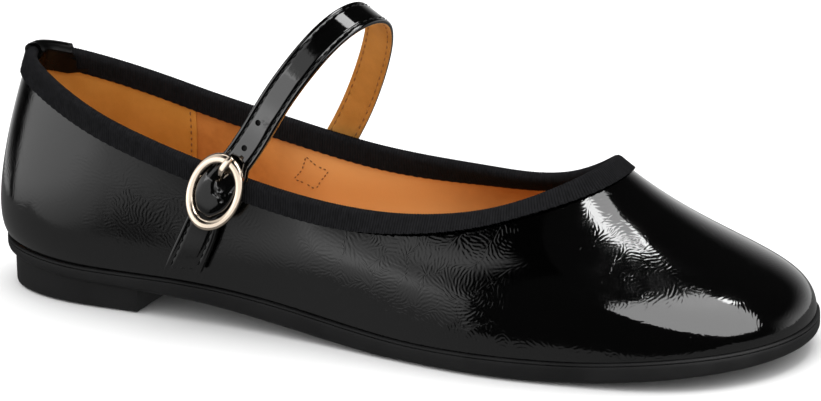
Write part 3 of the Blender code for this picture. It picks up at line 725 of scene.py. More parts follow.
def sock(finish):
    """The tan sock over the insole board: rows from the inner edge to the outer, dished along the middle."""
    turn, _ = even_turns(feather_loop, 200)
    feather = feather_loop(turn)
    edge = offset_loop(feather, -(WALL + SOCK_CLEAR), feather[:, 2])
    outer, inner = edge[1:100], edge[:100:-1]
    shares = np.linspace(0, 1, 25)
    grid = inner[:, None] + (outer - inner)[:, None] * shares[None, :, None]
    grid[:, :, 2] += SOCK_RISE + SOCK_DISH * (2 * shares - 1) ** 2
    piece = form_sheet("sock", grid, SOCK_THICKNESS)
    return finish_piece(piece, finish, "lining", "insole", angle=60)


# ---------------------------------------------------------------- the binding and the back tab

RIBBON_CLEAR = 0.00015              # between the wall and the ribbon
RIB_PITCH, RIB_RELIEF, RIB_SAMPLES = 0.0008, 0.00028, 4
EDGE_STITCH = {"pitch": 0.0026, "length": 0.0018, "radius": 0.00019}
EDGE_STITCH_RISE = 0.0009           # above the ribbon's edge
EDGE_PUCKER = 0.07                  # share of its last row by which the stitches draw the edge up and down
TAB_LIFT, TAB_THICKNESS = 0.0007, 0.0006        # its outer face over the ribs
TAB_OVERHANG, TAB_EDGE_ROUND = 0.0006, 0.00018  # below the ribbon's edge


def fold_profile(turn, clear, hem, arc=7, side_rows=4):
    """Rows of a fold over the rim, from the inner hem over the top to the outer hem."""
    points, normals, up = rim_frame(turn, np.linspace(0, 1, side_rows + 1) * hem)
    rows = range(1, side_rows + 1)
    outer = [points[:, k] + normals[:, k] * clear for k in rows]
    inner = [points[:, k] - normals[:, k] * (WALL + clear) for k in rows]
    middle = points[:, 0] - normals[:, 0] * WALL / 2
    radius = WALL / 2 + clear
    over = [middle + radius * (normals[:, 0] * np.cos(a) + up * np.sin(a))
            for a in np.linspace(np.pi, 0, arc)]
    return np.stack(inner[::-1] + over + outer, axis=1)


def binding(finish, groove_shade_finish):
    """Ribbed ribbon folded over the rim, with narrow grooves between its ribs and puckered edges; the faces
    between the ribs carry a near-black finish, painted shade in the grooves.
    """
    _, length = even_turns(collar_loop, 8)
    ribs = round(length / RIB_PITCH)
    turn, _ = even_turns(collar_loop, ribs * RIB_SAMPLES)
    base = fold_profile(turn, RIBBON_CLEAR + RIBBON, BINDING_DEPTH)
    raised = fold_profile(turn, RIBBON_CLEAR + RIBBON + RIB_RELIEF, BINDING_DEPTH)
    phase = 2 * np.pi * np.arange(len(turn)) / RIB_SAMPLES
    grid = base + (raised - base) * np.clip(0.75 + np.cos(phase), 0, 1)[:, None, None]
    pucker = EDGE_PUCKER * np.sin(phase * RIB_PITCH / EDGE_STITCH["pitch"])[:, None]
    for edge, next_row in ((0, 1), (-1, -2)):
        grid[:, edge] += (grid[:, edge] - grid[:, next_row]) * pucker
    piece = form_sheet("topline_ribbon", closed_round(grid), RIBBON)
    finish_piece(piece, finish, "ribbon", "topline_binding", angle=60)
    # painted shade: the faces between the ribs get the near-black groove finish
    piece.data.materials.append(groove_shade_finish)
    sheet_faces = len(turn) * (grid.shape[1] - 1)
    place = np.arange(len(piece.data.polygons)) % sheet_faces % len(turn) % RIB_SAMPLES
    piece.data.polygons.foreach_set("material_index", np.isin(place, (1, 2)).astype(int))


def back_tab(finish):
    """A patent strap folded over the ribbon at the back, its cut edges rounded over."""
    turn = np.linspace(*TAB_TURNS, 90)
    level = RIBBON_CLEAR + RIBBON + RIB_RELIEF + TAB_LIFT
    piece = form_sheet("back_tab", fold_profile(turn % (2 * np.pi), level, BINDING_DEPTH + TAB_OVERHANG),
                       TAB_THICKNESS)
    apply_modifier(piece, "BEVEL", width=TAB_EDGE_ROUND, segments=2, limit_method="ANGLE")
    return finish_piece(piece, finish, "patent", "heel_tab", angle=40)


# ---------------------------------------------------------------- stitches

def stitch_row(name, line, stitch, finish, slot, sink=0.35):
    """Stitches joined into one mesh: each is a short bowed thread, pressed a little into the surface. The
    line holds their starts, their ends and the surface's outward directions."""
    starts, ends, out = line
    radius = stitch["radius"]
    clear_selection()
    bpy.ops.mesh.primitive_uv_sphere_add(segments=8, ring_count=6, radius=1)
    model = bpy.context.object
    shape = get_points(model)
    faces = [tuple(p.vertices) for p in model.data.polygons]
    bpy.data.objects.remove(model)
    along = unit(ends - starts)
    half = np.linalg.norm(ends - starts, axis=1) / 2
    out = unit(out - along * np.sum(out * along, axis=1, keepdims=True))
    across = np.cross(out, along)
    middle = (starts + ends) / 2
    bow = 1 - shape[:, 2] ** 2
    points = (middle[:, None, :] + along[:, None, :] * (shape[None, :, 2, None] * half[:, None, None])
              + across[:, None, :] * (shape[None, :, 0, None] * radius)
              + out[:, None, :] * ((shape[None, :, 1, None] + (bow - sink)[None, :, None]) * radius))
    count = len(shape)
    mesh = bpy.data.meshes.new(name)
    mesh.from_pydata((points.reshape(-1, 3) - ORIGIN).tolist(), [],
                     [tuple(i + k * count for i in face) for k in range(len(middle)) for face in faces])
    row = bpy.data.objects.new(name, mesh)
    bpy.context.collection.objects.link(row)
    return finish_piece(row, finish, slot, angle=80)


def dashes(points, normals, stitch, closed=False):
    """Starts, ends and outward directions of stitches along a line of surface points."""
    pitch, length = stitch["pitch"], stitch["length"]
    if closed:
        points, normals = closed_round(points), closed_round(normals)
    run = np.concatenate([[0], np.cumsum(np.linalg.norm(np.diff(points, axis=0), axis=1))])
    count = int(run[-1] // pitch)
    begin = (run[-1] - (count - 1) * pitch - length) / 2 + np.arange(count) * pitch
    return (read_line(begin, run, points), read_line(begin + length, run, points),
            read_line(begin + length / 2, run, normals))


def binding_stitches(finish):
    """Two rows near the ribbon's edges, outside and inside."""
    turn, _ = even_turns(collar_loop, 900)
    points, normals, _ = rim_frame(turn, np.array([BINDING_DEPTH - EDGE_STITCH_RISE]))
    surface = RIBBON_CLEAR + RIBBON + RIB_RELIEF * 0.8
    for side, level, sense in (("outer", surface, 1), ("inner", -WALL - surface, -1)):
        places = points[:, 0] + normals[:, 0] * level
        line = dashes(places, normals[:, 0] * sense, EDGE_STITCH, closed=True)
        stitch_row("binding_stitches_" + side, line, EDGE_STITCH, finish, "ribbon")


# ---------------------------------------------------------------- the strap

STRAP_COLUMNS = ((0, 5, 70), (5, 12, 190), (12, 32, 300))       # from step, to step, columns
LINING_START = 10.4                 # step from which the strap is backed with tan
PATENT_BACK = 0.0002                # level of the patent's inner face over that backing
STITCH_SHARE = 0.345                # of the width, from the middle to the rows
BACKING_STITCH_SHARE = 1.08 * STITCH_SHARE
STRAP_STITCH = {"pitch": 0.0028, "length": 0.0018, "radius": 0.0002}
CROSS_STITCH = {"pitch": 0.0026, "length": 0.0017, "radius": 0.0002}
BACKING_STITCH = {"pitch": 0.0029, "length": 0.0018, "radius": 0.00018}
PRONG_HOLE = (0.0015, 0.0009, 0.006)                    # half sizes, the last of them through the strap
FREE_HOLES = ((12.06, -0.03), (13.14, -0.09))           # step, share of the width
FREE_HOLE_RADIUS, FREE_HOLE_REACH = 0.0009, 0.001       # half the cutter's length: it stops inside the strap
CUSHION_REACH, CUSHION_SPREAD, CUSHION_THICKNESS = 0.0093, 0.36, 0.0007     # up and down, extra width
CUSHION_TOP, CUSHION_DROP = -0.0010, 0.0017     # across, at the ring's middle and down to its edge
CUSHION_TUCK = 0.006                # how steeply its edge goes on under the ring
PULL_LOBE = (0.0030, 0.0020, 0.0030)        # rise, sway and radius of the leather that the prong pushes up
PUCKERS = ((0.0006, 0.0014, 0.0006, 0.00016), (0.0004, 0.0027, 0.0005, 0.0002),
           (0.0014, 0.0033, 0.0006, -0.00018), (0.0018, 0.0018, 0.0005, -0.00016),
           (-0.0006, 0.0034, 0.0006, -0.00016), (0.0030, 0.0031, 0.0006, 0.00012),
           (0.0000, 0.0004, 0.0005, -0.00012))      # rise, sway, radius and height of its small folds


def strap_swell(rise, sway):
    """Folds of the strap inside the ring: a puckered lobe beside the prong, and a crease round it."""
    away = np.hypot(rise - PULL_LOBE[0], sway - PULL_LOBE[1])
    lobe = 0.0003 * np.exp(-(away / 0.0025) ** 4)
    crease = -0.0003 * np.exp(-((away - PULL_LOBE[2]) / 0.0004) ** 2)
    crease = crease * np.clip((0.0050 - rise) / 0.002, 0, 1) * np.clip((0.0030 - sway) / 0.0015, 0, 1)
    puckers = np.zeros_like(away)
    for up, over, radius, height in PUCKERS:
        puckers = puckers + height * np.exp(-((rise - up) ** 2 + (sway - over) ** 2) / radius ** 2)
    return lobe + crease + puckers


def strap_grid(step, shares, levels):
    """Points of the strap at shares of its width and levels through its thickness, positive inwards. Inside
    the ring it is wider and pressed into a cushion, whose edge goes under the ring."""
    centre, edge, inward = strap_frame(step)
    rise, across = smooth(STRAP, "rise", step), smooth(STRAP, "across", step)
    inside = (step < 16) * np.exp(-(rise / CUSHION_REACH) ** 10)
    edge = edge * (1 + CUSHION_SPREAD * inside)[:, None]
    places = np.asarray(shares) * STRAP_WIDTH
    sway = np.multiply.outer(np.linalg.norm(edge, axis=1), places)
    reach = np.hypot(rise[:, None] / RING_INNER_LONG, sway / RING_INNER_SHORT)
    within = np.minimum(reach, 1)
    cushion = CUSHION_TOP + CUSHION_DROP * within ** 8 + CUSHION_TUCK * np.clip(reach - 1, 0, 0.12)
    cushion = cushion - across[:, None]
    cushion = cushion - strap_swell(rise[:, None], sway) * inside[:, None] * (1 - within ** 8)
    levels = np.broadcast_to(levels, sway.shape)
    levels = np.maximum(levels, np.where(levels < -0.0003, cushion, cushion + CUSHION_THICKNESS))
    return (centre[:, None, :] + edge[:, None, :] * places[None, :, None]
            + inward[:, None, :] * levels[:, :, None])


def closed_section(name, step, shares, levels):
    """A band whose section is closed, with capped ends; levels may differ from step to step."""
    grid = strap_grid(step, shares, levels)
    return capped_tube(name, np.concatenate([grid, grid[:, :1]], axis=1))


def punch(piece, middle, axes, halves):
    """Cuts an oval hole: axes are its two half directions and the way through."""
    clear_selection()
    bpy.ops.mesh.primitive_cylinder_add(vertices=28, radius=1, depth=2)
    cutter = bpy.context.object
    shape = get_points(cutter)
    offset = sum(np.multiply.outer(shape[:, k] * halves[k], axes[k]) for k in range(3))
    set_points(cutter, middle - ORIGIN + offset)
    edit(cutter, outward_faces)
    combine(piece, cutter, "DIFFERENCE")


def paint_hole_shade(piece, places, finish):
    """Gives the walls and floors of the holes a near-black matte finish: painted shade in the holes."""
    piece.data.materials.append(finish)
    centres = np.empty(3 * len(piece.data.polygons))
    piece.data.polygons.foreach_get("center", centres)
    away = [np.linalg.norm(centres.reshape(-1, 3) + ORIGIN - place, axis=1) for place in places]
    in_hole = np.min(away, axis=0) < 1.05 * FREE_HOLE_RADIUS
    piece.data.polygons.foreach_set("material_index", in_hole.astype(int))


def patent_section(half):
    """Shares and levels round the strap's patent: rounded edges, and a groove where it is sewn."""
    edge_side = [(-0.5, -PATENT_BACK), (-0.495, -half + 0.00025), (-0.475, -half + 0.00003),
                 (-0.445, -half - 0.00005), (-0.40, -half - 0.00004), (-0.37, -half + 0.00008),
                 (-STITCH_SHARE, -half + 0.00017), (-0.32, -half + 0.00008), (-0.29, -half - 0.00002)]
    flat = [(share, -half - 0.00004) for share in np.linspace(-0.26, 0.26, 26)]
    far_side = [(-share, level) for share, level in edge_side[::-1]]
    return np.array(edge_side + flat + far_side + [(0.5, PATENT_BACK), (-0.5, PATENT_BACK)])


def backing_section(half):
    """Shares and levels round its tan backing, with the same grooves."""
    groove = (BACKING_STITCH_SHARE, half - 0.0001)
    face = [(0.492, half - 0.0002), (0.475, half - 0.00005), (0.45, half), (0.38, half), groove,
            (0.34, half), (0.2, half)]
    far_face = [(-share, level) for share, level in face[::-1]]
    return np.array([(-0.49, 0.00022), (0.49, 0.00022)] + face + [(0, half)] + far_face)


def strap_pieces(patent, lining, dark):
    """The strap's patent with its holes, their walls and floors painted dark as shade, and the tan backing
    behind it.
    """
    step = np.unique(np.concatenate([np.linspace(*part) for part in STRAP_COLUMNS]))
    half = STRAP_THICKNESS / 2
    outer = patent_section(half)
    levels = np.repeat(outer[None, :, 1], len(step), axis=0)
    back = np.interp(step, [LINING_START - 0.6, LINING_START], [half, PATENT_BACK])
    levels[:, -2:] = back[:, None]
    patent_piece = closed_section("strap_patent", step, outer[:, 0], levels)
    inner = backing_section(half)
    lining_piece = closed_section("strap_lining", step[step > LINING_START], inner[:, 0], inner[:, 1])
    punch(patent_piece, strap_point(HOLE_RISE, HOLE_ACROSS, HOLE_SWAY),
          (STRAP_RISE, STRAP_EDGE, STRAP_ACROSS), PRONG_HOLE)
    places = []
    for at, share in FREE_HOLES:
        centre, edge, inward = (v[1] for v in strap_frame(np.array([at - 0.05, at, at + 0.05])))
        across = unit(edge)
        middle = centre + edge * share * STRAP_WIDTH
        punch(patent_piece, middle - inward * FREE_HOLE_REACH, (np.cross(across, inward), across, inward),
              (FREE_HOLE_RADIUS, FREE_HOLE_RADIUS, FREE_HOLE_REACH))
        places.append(middle)
    finish_piece(patent_piece, patent, "patent", "strap", angle=40)
    # the holes' walls and floors get the near-black thread finish as painted shade
    paint_hole_shade(patent_piece, places, dark)
    finish_piece(lining_piece, lining, "lining", angle=40)


def strap_row(name, start, end, stitch, finish, slot, inside=False, count=400):
    """Stitches along the strap between two places, each given as (step, share of the width)."""
    step = np.linspace(start[0], end[0], count)
    share = np.linspace(start[1], end[1], count)
    if start[0] == end[0]:
        centre, edge, inward = (v[[1] * count] for v in strap_frame(start[0] + np.array([-0.05, 0, 0.05])))
    else:
        centre, edge, inward = strap_frame(step)
    level = STRAP_THICKNESS / 2 - 0.00008
    sense = 1 if inside else -1
    places = centre + edge * (share * STRAP_WIDTH)[:, None] + inward * level * sense
    stitch_row("strap_stitches_" + name, dashes(places, inward * sense, stitch), stitch, finish, slot)


def strap_stitches(black, tan):
    """Rows along both edges, outside and on the backing, and one across at each end."""
    for name, sense in (("rear", -1), ("front", 1)):
        share, back_share = sense * STITCH_SHARE, sense * BACKING_STITCH_SHARE
        strap_row(name, (0.36, share), (5.4, share), STRAP_STITCH, black, "patent")
        strap_row("upper_" + name, (11.2, share), (31.6, share), STRAP_STITCH, black, "patent")
        strap_row("inside_" + name, (11.5, back_share), (28.4, back_share), BACKING_STITCH, tan, "lining",
                  inside=True)
    for name, step in (("tail", 0.36), ("inner_end", 31.6), ("inner_top", 29.2)):
        strap_row(name, (step, -STITCH_SHARE), (step, STITCH_SHARE), CROSS_STITCH, black, "patent")


# ---------------------------------------------------------------- the buckle

CHAPE_CORNER, CHAPE_SLOT_REACH = 0.00022, 0.0024
RING_ROUNDNESS = 0.8                # of its section: 1 is an ellipse, and less is squarer
PRONG_HALF_WIDTH, PRONG_HALF_THICKNESS = 0.0006, 0.0003
PRONG_TOP = ((-0.85, 0.35), (-0.7, 0.8), (-0.5, 1.0), (-0.3, 0.85), (-0.14, 0.45), (0, 0.3), (0.14, 0.45),
             (0.3, 0.85), (0.5, 1.0), (0.7, 0.8), (0.85, 0.35))        # its grooved face, in half sizes
PRONG_BACK = ((1, 0), (0.85, -0.7), (0.5, -1), (-0.5, -1), (-0.85, -0.7))
PRONG_SPREAD = ((30, 52, 82, 88), (1.0, 1.45, 1.45, 0.9))              # rows along it, how much wider it is


def band_grid(centre, edge, section):
    """A band along a middle line; section holds closed (along the edge, along the thickness) pairs."""
    thick = unit(np.cross(unit(np.gradient(centre, axis=0)), edge))
    a, b = np.array(section + section[:1]).T
    return centre[:, None, :] + edge[:, None, :] * a[None, :, None] + thick[:, None, :] * b[None, :, None]


def softened_section(half_width, half_thickness, corner, points=4):
    """A rounded oblong as closed pairs."""
    pairs = []
    for side, top, start in ((1, -1, -90), (1, 1, 0), (-1, 1, 90), (-1, -1, 180)):
        for angle in np.radians(np.linspace(start, start + 90, points)):
            pairs.append((side * (half_width - corner) + corner * math.cos(angle),
                          top * (half_thickness - corner) + corner * math.sin(angle)))
    return pairs


def chape(finish):
    """The strip that holds the buckle: up the quarter, round the bar and down again behind the strap."""
    radius = BAR_RADIUS + BAR_CLEAR + CHAPE_THICKNESS / 2
    foot = QUARTER_ACROSS - BAR_CLEAR - CHAPE_THICKNESS / 2
    run = np.linspace(CHAPE_FOOT, -CHAPE_LIFT_START, 24)
    turn = np.radians(np.linspace(90, -190, 44))
    rise = np.concatenate([run, [-CHAPE_LIFT_END], radius * np.cos(turn)])
    across = np.concatenate([foot + QUARTER_SLOPE * run, [BAR_ACROSS + radius],
                             BAR_ACROSS + radius * np.sin(turn)])
    centre = strap_point(rise, across)
    edge = np.broadcast_to(unit(STRAP_EDGE + STRAP["twist"][0] * STRAP_ACROSS), centre.shape)
    section = softened_section(CHAPE_HALF_WIDTH, CHAPE_THICKNESS / 2, CHAPE_CORNER)
    strip = capped_tube("buckle_chape", band_grid(centre, edge, section))
    punch(strip, strap_point(0.0, BAR_ACROSS), (STRAP_RISE, STRAP_EDGE, STRAP_ACROSS),
          (CHAPE_SLOT_REACH, CHAPE_SLOT_HALF, CHAPE_SLOT_REACH))
    finish_piece(strip, finish, "patent", "buckle_tab", angle=40)


def ring_axes():
    """The frame's long direction, its short one along the strap's edge, and its outward one."""
    edge = unit(STRAP_EDGE + STRAP["twist"][RING_STEP] * STRAP_ACROSS)
    long_axis = unit(STRAP_RISE + RING_LEAN * STRAP_ACROSS)
    out = unit(np.cross(edge, long_axis))
    if out @ STRAP_ACROSS > 0:
        out = -out
    long_axis = unit(long_axis - RING_SWING * edge)
    return long_axis, unit(np.cross(long_axis, out)), out


def ring(finish):
    """The oval frame, softly squared in section, and its bar."""
    long_axis, edge, out = ring_axes()
    middle = strap_point(0.0, RING_ACROSS)
    turn = np.linspace(0, 2 * np.pi, 129)[:, None]
    around = np.linspace(0, 2 * np.pi, 29)[None, :]
    radial, lift = (np.sign(v) * np.abs(v) ** RING_ROUNDNESS for v in (np.cos(around), np.sin(around)))
    share = (1 + radial) / 2
    far = RING_INNER_LONG + (RING_OUTER_LONG - RING_INNER_LONG) * share
    wide = RING_INNER_SHORT + (RING_OUTER_SHORT - RING_INNER_SHORT) * share
    height = RING_HALF_THICKNESS * lift - RING_DIP * np.sin(turn) ** 2
    grid = (middle + (np.cos(turn) * far)[:, :, None] * long_axis + (np.sin(turn) * wide)[:, :, None] * edge
            + height[:, :, None] * out)
    frame_piece = form_sheet("buckle_frame", grid)
    reach = (RING_INNER_SHORT + RING_OUTER_SHORT) / 2
    bar_edge = unit(STRAP_EDGE + STRAP["twist"][0] * STRAP_ACROSS)
    ends = strap_point(0.0, BAR_ACROSS) + np.outer(np.linspace(-reach, reach, 12), bar_edge)
    around = np.linspace(0, 2 * np.pi, 17)
    rod = (ends[:, None, :] + BAR_RADIUS * (np.cos(around)[None, :, None] * out
                                            + np.sin(around)[None, :, None] * long_axis))
    combine(frame_piece, capped_tube("buckle_bar", rod), "UNION")
    finish_piece(frame_piece, finish, "pale_gold", "buckle_ring", angle=50)


def prong(finish):
    """The pin: an eye round the bar, and a grooved tongue up through the strap to the frame's top."""
    step = np.linspace(0, PRONG["step"][-1], 60)
    radius = BAR_RADIUS + BAR_CLEAR + PRONG_HALF_THICKNESS
    turn = np.radians(np.linspace(-300, -60, 30))
    rise = np.concatenate([radius * np.cos(turn), smooth(PRONG, "rise", step)[1:]])
    across = np.concatenate([BAR_ACROSS + radius * np.sin(turn), smooth(PRONG, "across", step)[1:]])
    sway = np.concatenate([np.full(len(turn), PRONG["sway"][0]), smooth(PRONG, "sway", step)[1:]])
    centre = strap_point(rise, across, sway)
    edge = np.broadcast_to(STRAP_EDGE, centre.shape)
    outline = ((-1, 0), *PRONG_TOP, *PRONG_BACK)
    section = [(a * PRONG_HALF_WIDTH, b * PRONG_HALF_THICKNESS) for a, b in outline]
    full = band_grid(centre, edge, section)
    spread = np.interp(np.arange(len(centre)), *PRONG_SPREAD)
    along_edge = (full - centre[:, None, :]) @ STRAP_EDGE
    grid = full + along_edge[:, :, None] * (spread - 1)[:, None, None] * STRAP_EDGE
    tongue = capped_tube("buckle_tongue", grid)
    finish_piece(tongue, finish, "pale_gold", "buckle_prong", angle=50)


# ---------------------------------------------------------------- the sole

# from the tread up: distance out from the feather line, and height over the floor or below the top
SOLE_FOOT = ((-0.0012, 0.0), (-0.0006, 0.0001), (0.0000, 0.0004), (0.0005, 0.0009), (0.0008, 0.0016))
SOLE_SIDE = ((LIP, 0.0020), (LIP, 0.00108), (0.00082, 0.00095), (0.0005, 0.00088), (0.0005, 0.00076),
             (0.00082, 0.00069), (LIP, 0.00058), (0.00088, 0.0003), (0.0007, 0.0001), (0.0004, 0.00002),
             (0.0, 0.0), (-0.0030, 0.0))
BLOCK_FOOT = ((0.0006, 0.0), (0.0002, 0.0002), (0.0, 0.0008))       # of the heel: more inset, and height


def capped_stack(name, rings):
    """Loops stacked one on another, with a lid under the first and on the last."""
    piece = form_sheet(name, closed_round(np.stack(rings, axis=1)))
    for ring in (rings[0], rings[-1]):
        put_lid(piece, ring)
    edit(piece, outward_faces)
    return piece


def sole_unit(finish):
    """The sole's plate, grooved along its side, and the heel block under it, in one piece."""
    turn, _ = even_turns(feather_loop, 300)
    along, _ = station(turn)
    feather = feather_loop(turn)
    top = feather[:, 2]
    floor = np.maximum(smooth(LAST, "ground", along), 0)
    rings = [offset_loop(feather, out, floor + height) for out, height in SOLE_FOOT]
    rings += [offset_loop(feather, out, top - depth) for out, depth in SOLE_SIDE]
    plate = capped_stack("sole_unit", rings)

    block_end = math.acos(1 - 2 * BREAST / LAST_LENGTH)
    edge = feather_loop(np.linspace(-block_end, block_end, 120) % (2 * np.pi))
    outward = unit(np.stack([np.gradient(edge[:, 1]), -np.gradient(edge[:, 0])], axis=1))

    def block_ring(inset, z, rake):
        ring = edge.copy()
        ring[:, :2] -= outward * inset
        ring[:, 0] += rake * (edge[:, 0] / BREAST) ** 4
        ring[:, 2] = z
        return ring

    root = edge[:, 2] - (LAST["feather"][0] - LAST["ground"][0]) / 2
    block = [block_ring(BLOCK_INSET + inset, height, 0) for inset, height in BLOCK_FOOT]
    block.append(block_ring(BLOCK_INSET, root, BREAST_RAKE))
    combine(plate, capped_stack("heel_block", block), "UNION")
    return finish_piece(plate, finish, "rubber", "sole", angle=40)


# ---------------------------------------------------------------- the stage

CAMERA_TARGET = np.array([0.1284, 0.0, 0.0349])
CAMERA_AZIMUTH, CAMERA_ELEVATION, CAMERA_ROLL = 25.88, 17.11, -1.53     # degrees
CAMERA_DISTANCE, CAMERA_LENS = 2.142, 326.33


def add_camera():
    """The camera, turned about its target and rolled a little."""
    turn, lift, roll = (math.radians(a) for a in (CAMERA_AZIMUTH, CAMERA_ELEVATION, CAMERA_ROLL))
    right = Vector((math.cos(turn), math.sin(turn), 0))
    back = Vector((math.sin(turn) * math.cos(lift), -math.cos(turn) * math.cos(lift), math.sin(lift)))
    up = back.cross(right)
    right, up = right * math.cos(roll) + up * math.sin(roll), up * math.cos(roll) - right * math.sin(roll)
    place = Vector(CAMERA_TARGET - ORIGIN) + back * CAMERA_DISTANCE
    lens = bpy.data.cameras.new("camera")
    lens.lens = CAMERA_LENS
    lens.sensor_width = 36.0
    lens.clip_start, lens.clip_end = 0.1, 20.0
    camera = bpy.data.objects.new("camera", lens)
    camera.matrix_world = Matrix.Translation(place) @ Matrix((right, up, back)).transposed().to_4x4()
    bpy.context.collection.objects.link(camera)
    bpy.context.scene.camera = camera


def lamp(name, place, aim, width, height, brightness, glossy=True, diffuse=True):
    """A soft rectangular light; brightness is what a mirror would show of it."""
    light = bpy.data.lights.new(name, "AREA")
    light.shape = "RECTANGLE"
    light.size, light.size_y = width, height
    light.energy = brightness * math.pi * width * height
    holder = bpy.data.objects.new(name, light)
    holder.matrix_world = Matrix.Translation(place) @ aim
    holder.visible_camera = False
    holder.visible_glossy = glossy
    holder.visible_diffuse = diffuse
    bpy.context.collection.objects.link(holder)
    return holder


def overhead(name, x, y, height, brightness, turn=0.0, **rays):
    """A level panel over the shoe, from its reach in x and in y, or a card under it that shines upwards."""
    place = Vector(((x[0] + x[1]) / 2, (y[0] + y[1]) / 2, height))
    aim = Matrix.Rotation(math.radians(turn), 4, "Z")
    aim = aim @ Matrix.Rotation(0 if height > 0.1 else math.pi, 4, "X")
    return lamp(name, place, aim, x[1] - x[0], y[1] - y[0], brightness, **rays)


def facing(name, azimuth, elevation, distance, width, height, brightness, roll=0.0, **rays):
    """An upright panel turned to the shoe."""
    a, e = math.radians(azimuth), math.radians(elevation)
    towards = Vector((math.cos(a) * math.cos(e), math.sin(a) * math.cos(e), math.sin(e)))
    aim = towards.to_track_quat("Z", "Y").to_matrix().to_4x4() @ Matrix.Rotation(math.radians(roll), 4, "Z")
    return lamp(name, towards * distance, aim, width, height, brightness, **rays)


def stage_plane(name, x, y, z):
    """A level plane of the stage, from its reach in x and in y."""
    clear_selection()
    bpy.ops.mesh.primitive_plane_add(size=1)
    plane = bpy.context.object
    plane.name = name
    plane.scale = (x[1] - x[0], y[1] - y[0], 1)
    plane.location = ((x[0] + x[1]) / 2, (y[0] + y[1]) / 2, z)
    bpy.ops.object.transform_apply(location=True, rotation=True, scale=True)
    return plane


def light_card(name, strength):
    """A glowing card that only the gloss sees; its material's colour socket waits for a pattern."""
    made, w, shader = new_material(name, Base_Color=(0, 0, 0, 1), Roughness=1.0, Specular_IOR_Level=0.0)
    shader.inputs["Emission Color"].default_value = (1, 1, 1, 1)
    shader.inputs["Emission Strength"].default_value = strength
    return made, w, shader


def only_for_gloss(card, made):
    """Gives a card its material and hides it from everything but reflections."""
    card.data.materials.append(made)
    card.visible_camera = False
    card.visible_diffuse = False
    card.visible_shadow = False


def gloss_card(name, x, y, z, strength):
    """A level glowing card that only the gloss sees."""
    card = stage_plane(name.replace(" ", "_"), x, y, z)
    only_for_gloss(card, light_card(name, strength)[0])


def add_floor():
    """A pale floor that the gloss doesn't mirror, and a dim card beside the shoe that it does."""
    floor = stage_plane("floor", (-3, 3), (-3, 3), -0.0004)
    made, w, shader = new_material("floor", Roughness=0.9, Specular_IOR_Level=0.1)
    tone = w.noise(w.place(), 3.0, 3.0).outputs["Fac"]
    w.link(w.mix(tone, (0.61, 0.61, 0.61, 1), (0.63, 0.63, 0.63, 1)), shader.inputs["Base Color"])
    floor.data.materials.append(made)
    floor.visible_glossy = False
    gloss_card("floor card", (-0.25, 0.25), (-0.068, 0.2), -0.0002, 0.2)


PANEL_TURN, PANEL_LIFT, PANEL_DISTANCE = math.radians(-155), math.radians(22), 1.5
PANEL_SIZE, PANEL_SLOPES = (2.6, 5, 1, 1), (-0.7, 1.8)      # the slopes are seen from the shoe's middle
PANEL_TONES = ((0.03, 0.16), (0.08, 0.17), (0.11, 0.22), (0.15, 0.38), (0.205, 0.54), (0.25, 0.9),
               (0.30, 1.0), (0.372, 0.72), (0.492, 0.58), (0.57, 0.66), (0.653, 0.62), (0.774, 0.56),
               (0.851, 0.46), (0.915, 0.34), (0.97, 0.03), (0.98, 0.0))   # share of the slopes, brightness


def add_heel_panel():
    """A tall panel by the heel, brightest at the height of the shoe and fading upwards and at its sides."""
    c, n = math.cos(PANEL_TURN), math.sin(PANEL_TURN)
    towards = Vector((c * math.cos(PANEL_LIFT), n * math.cos(PANEL_LIFT), math.sin(PANEL_LIFT)))
    clear_selection()
    bpy.ops.mesh.primitive_plane_add(size=1)
    panel = bpy.context.object
    panel.name = "heel_panel"
    facing_shoe = towards.to_track_quat("Z", "Y").to_matrix().to_4x4()
    panel.matrix_world = (Matrix.Translation(towards * PANEL_DISTANCE) @ facing_shoe
                          @ Matrix.Diagonal(PANEL_SIZE))
    bpy.ops.object.transform_apply(location=True, rotation=True, scale=True)
    made, w, shader = light_card("heel panel", 1.0)
    x, y, z = w.axes(w.place())
    level = w.math("SQRT", w.math("ADD", w.math("MULTIPLY", x, x), w.math("MULTIPLY", y, y)))
    slope = w.math("DIVIDE", z, level)
    ramp = w.add("ShaderNodeValToRGB", {"Fac": w.ranged(slope, *PANEL_SLOPES, smoothly=False)})
    stops = ramp.color_ramp.elements
    for at, tone in PANEL_TONES:
        stop = stops.new(at)
        stop.color = (tone, tone, tone, 1)
    stops.remove(stops[0])
    stops.remove(stops[-1])
    ahead = w.math("ADD", w.math("MULTIPLY", x, c), w.math("MULTIPLY", y, n))
    aside = w.math("ADD", w.math("MULTIPLY", x, -n), w.math("MULTIPLY", y, c))
    turn = w.math("DEGREES", w.math("ARCTAN2", aside, ahead))
    low_side, high_side = w.ranged(turn, 41, 32), w.ranged(turn, 41, 19)
    above = w.ranged(slope, -0.2, 0.05)
    buckle_side = w.math("MULTIPLY_ADD", w.math("SUBTRACT", high_side, low_side), above, low_side)
    sides = w.math("MULTIPLY", w.ranged(turn, -30, -25), buckle_side)
    w.link(w.mix(sides, (0, 0, 0, 1), ramp.outputs["Color"]), shader.inputs["Emission Color"])
    only_for_gloss(panel, made)


def only_for(lights, pieces):
    """Lights that fall on some pieces alone."""
    group = bpy.data.collections.new(lights[0].name + " pieces")
    for piece in pieces:
        group.objects.link(piece)
    for light in lights:
        light.light_linking.receiver_collection = group


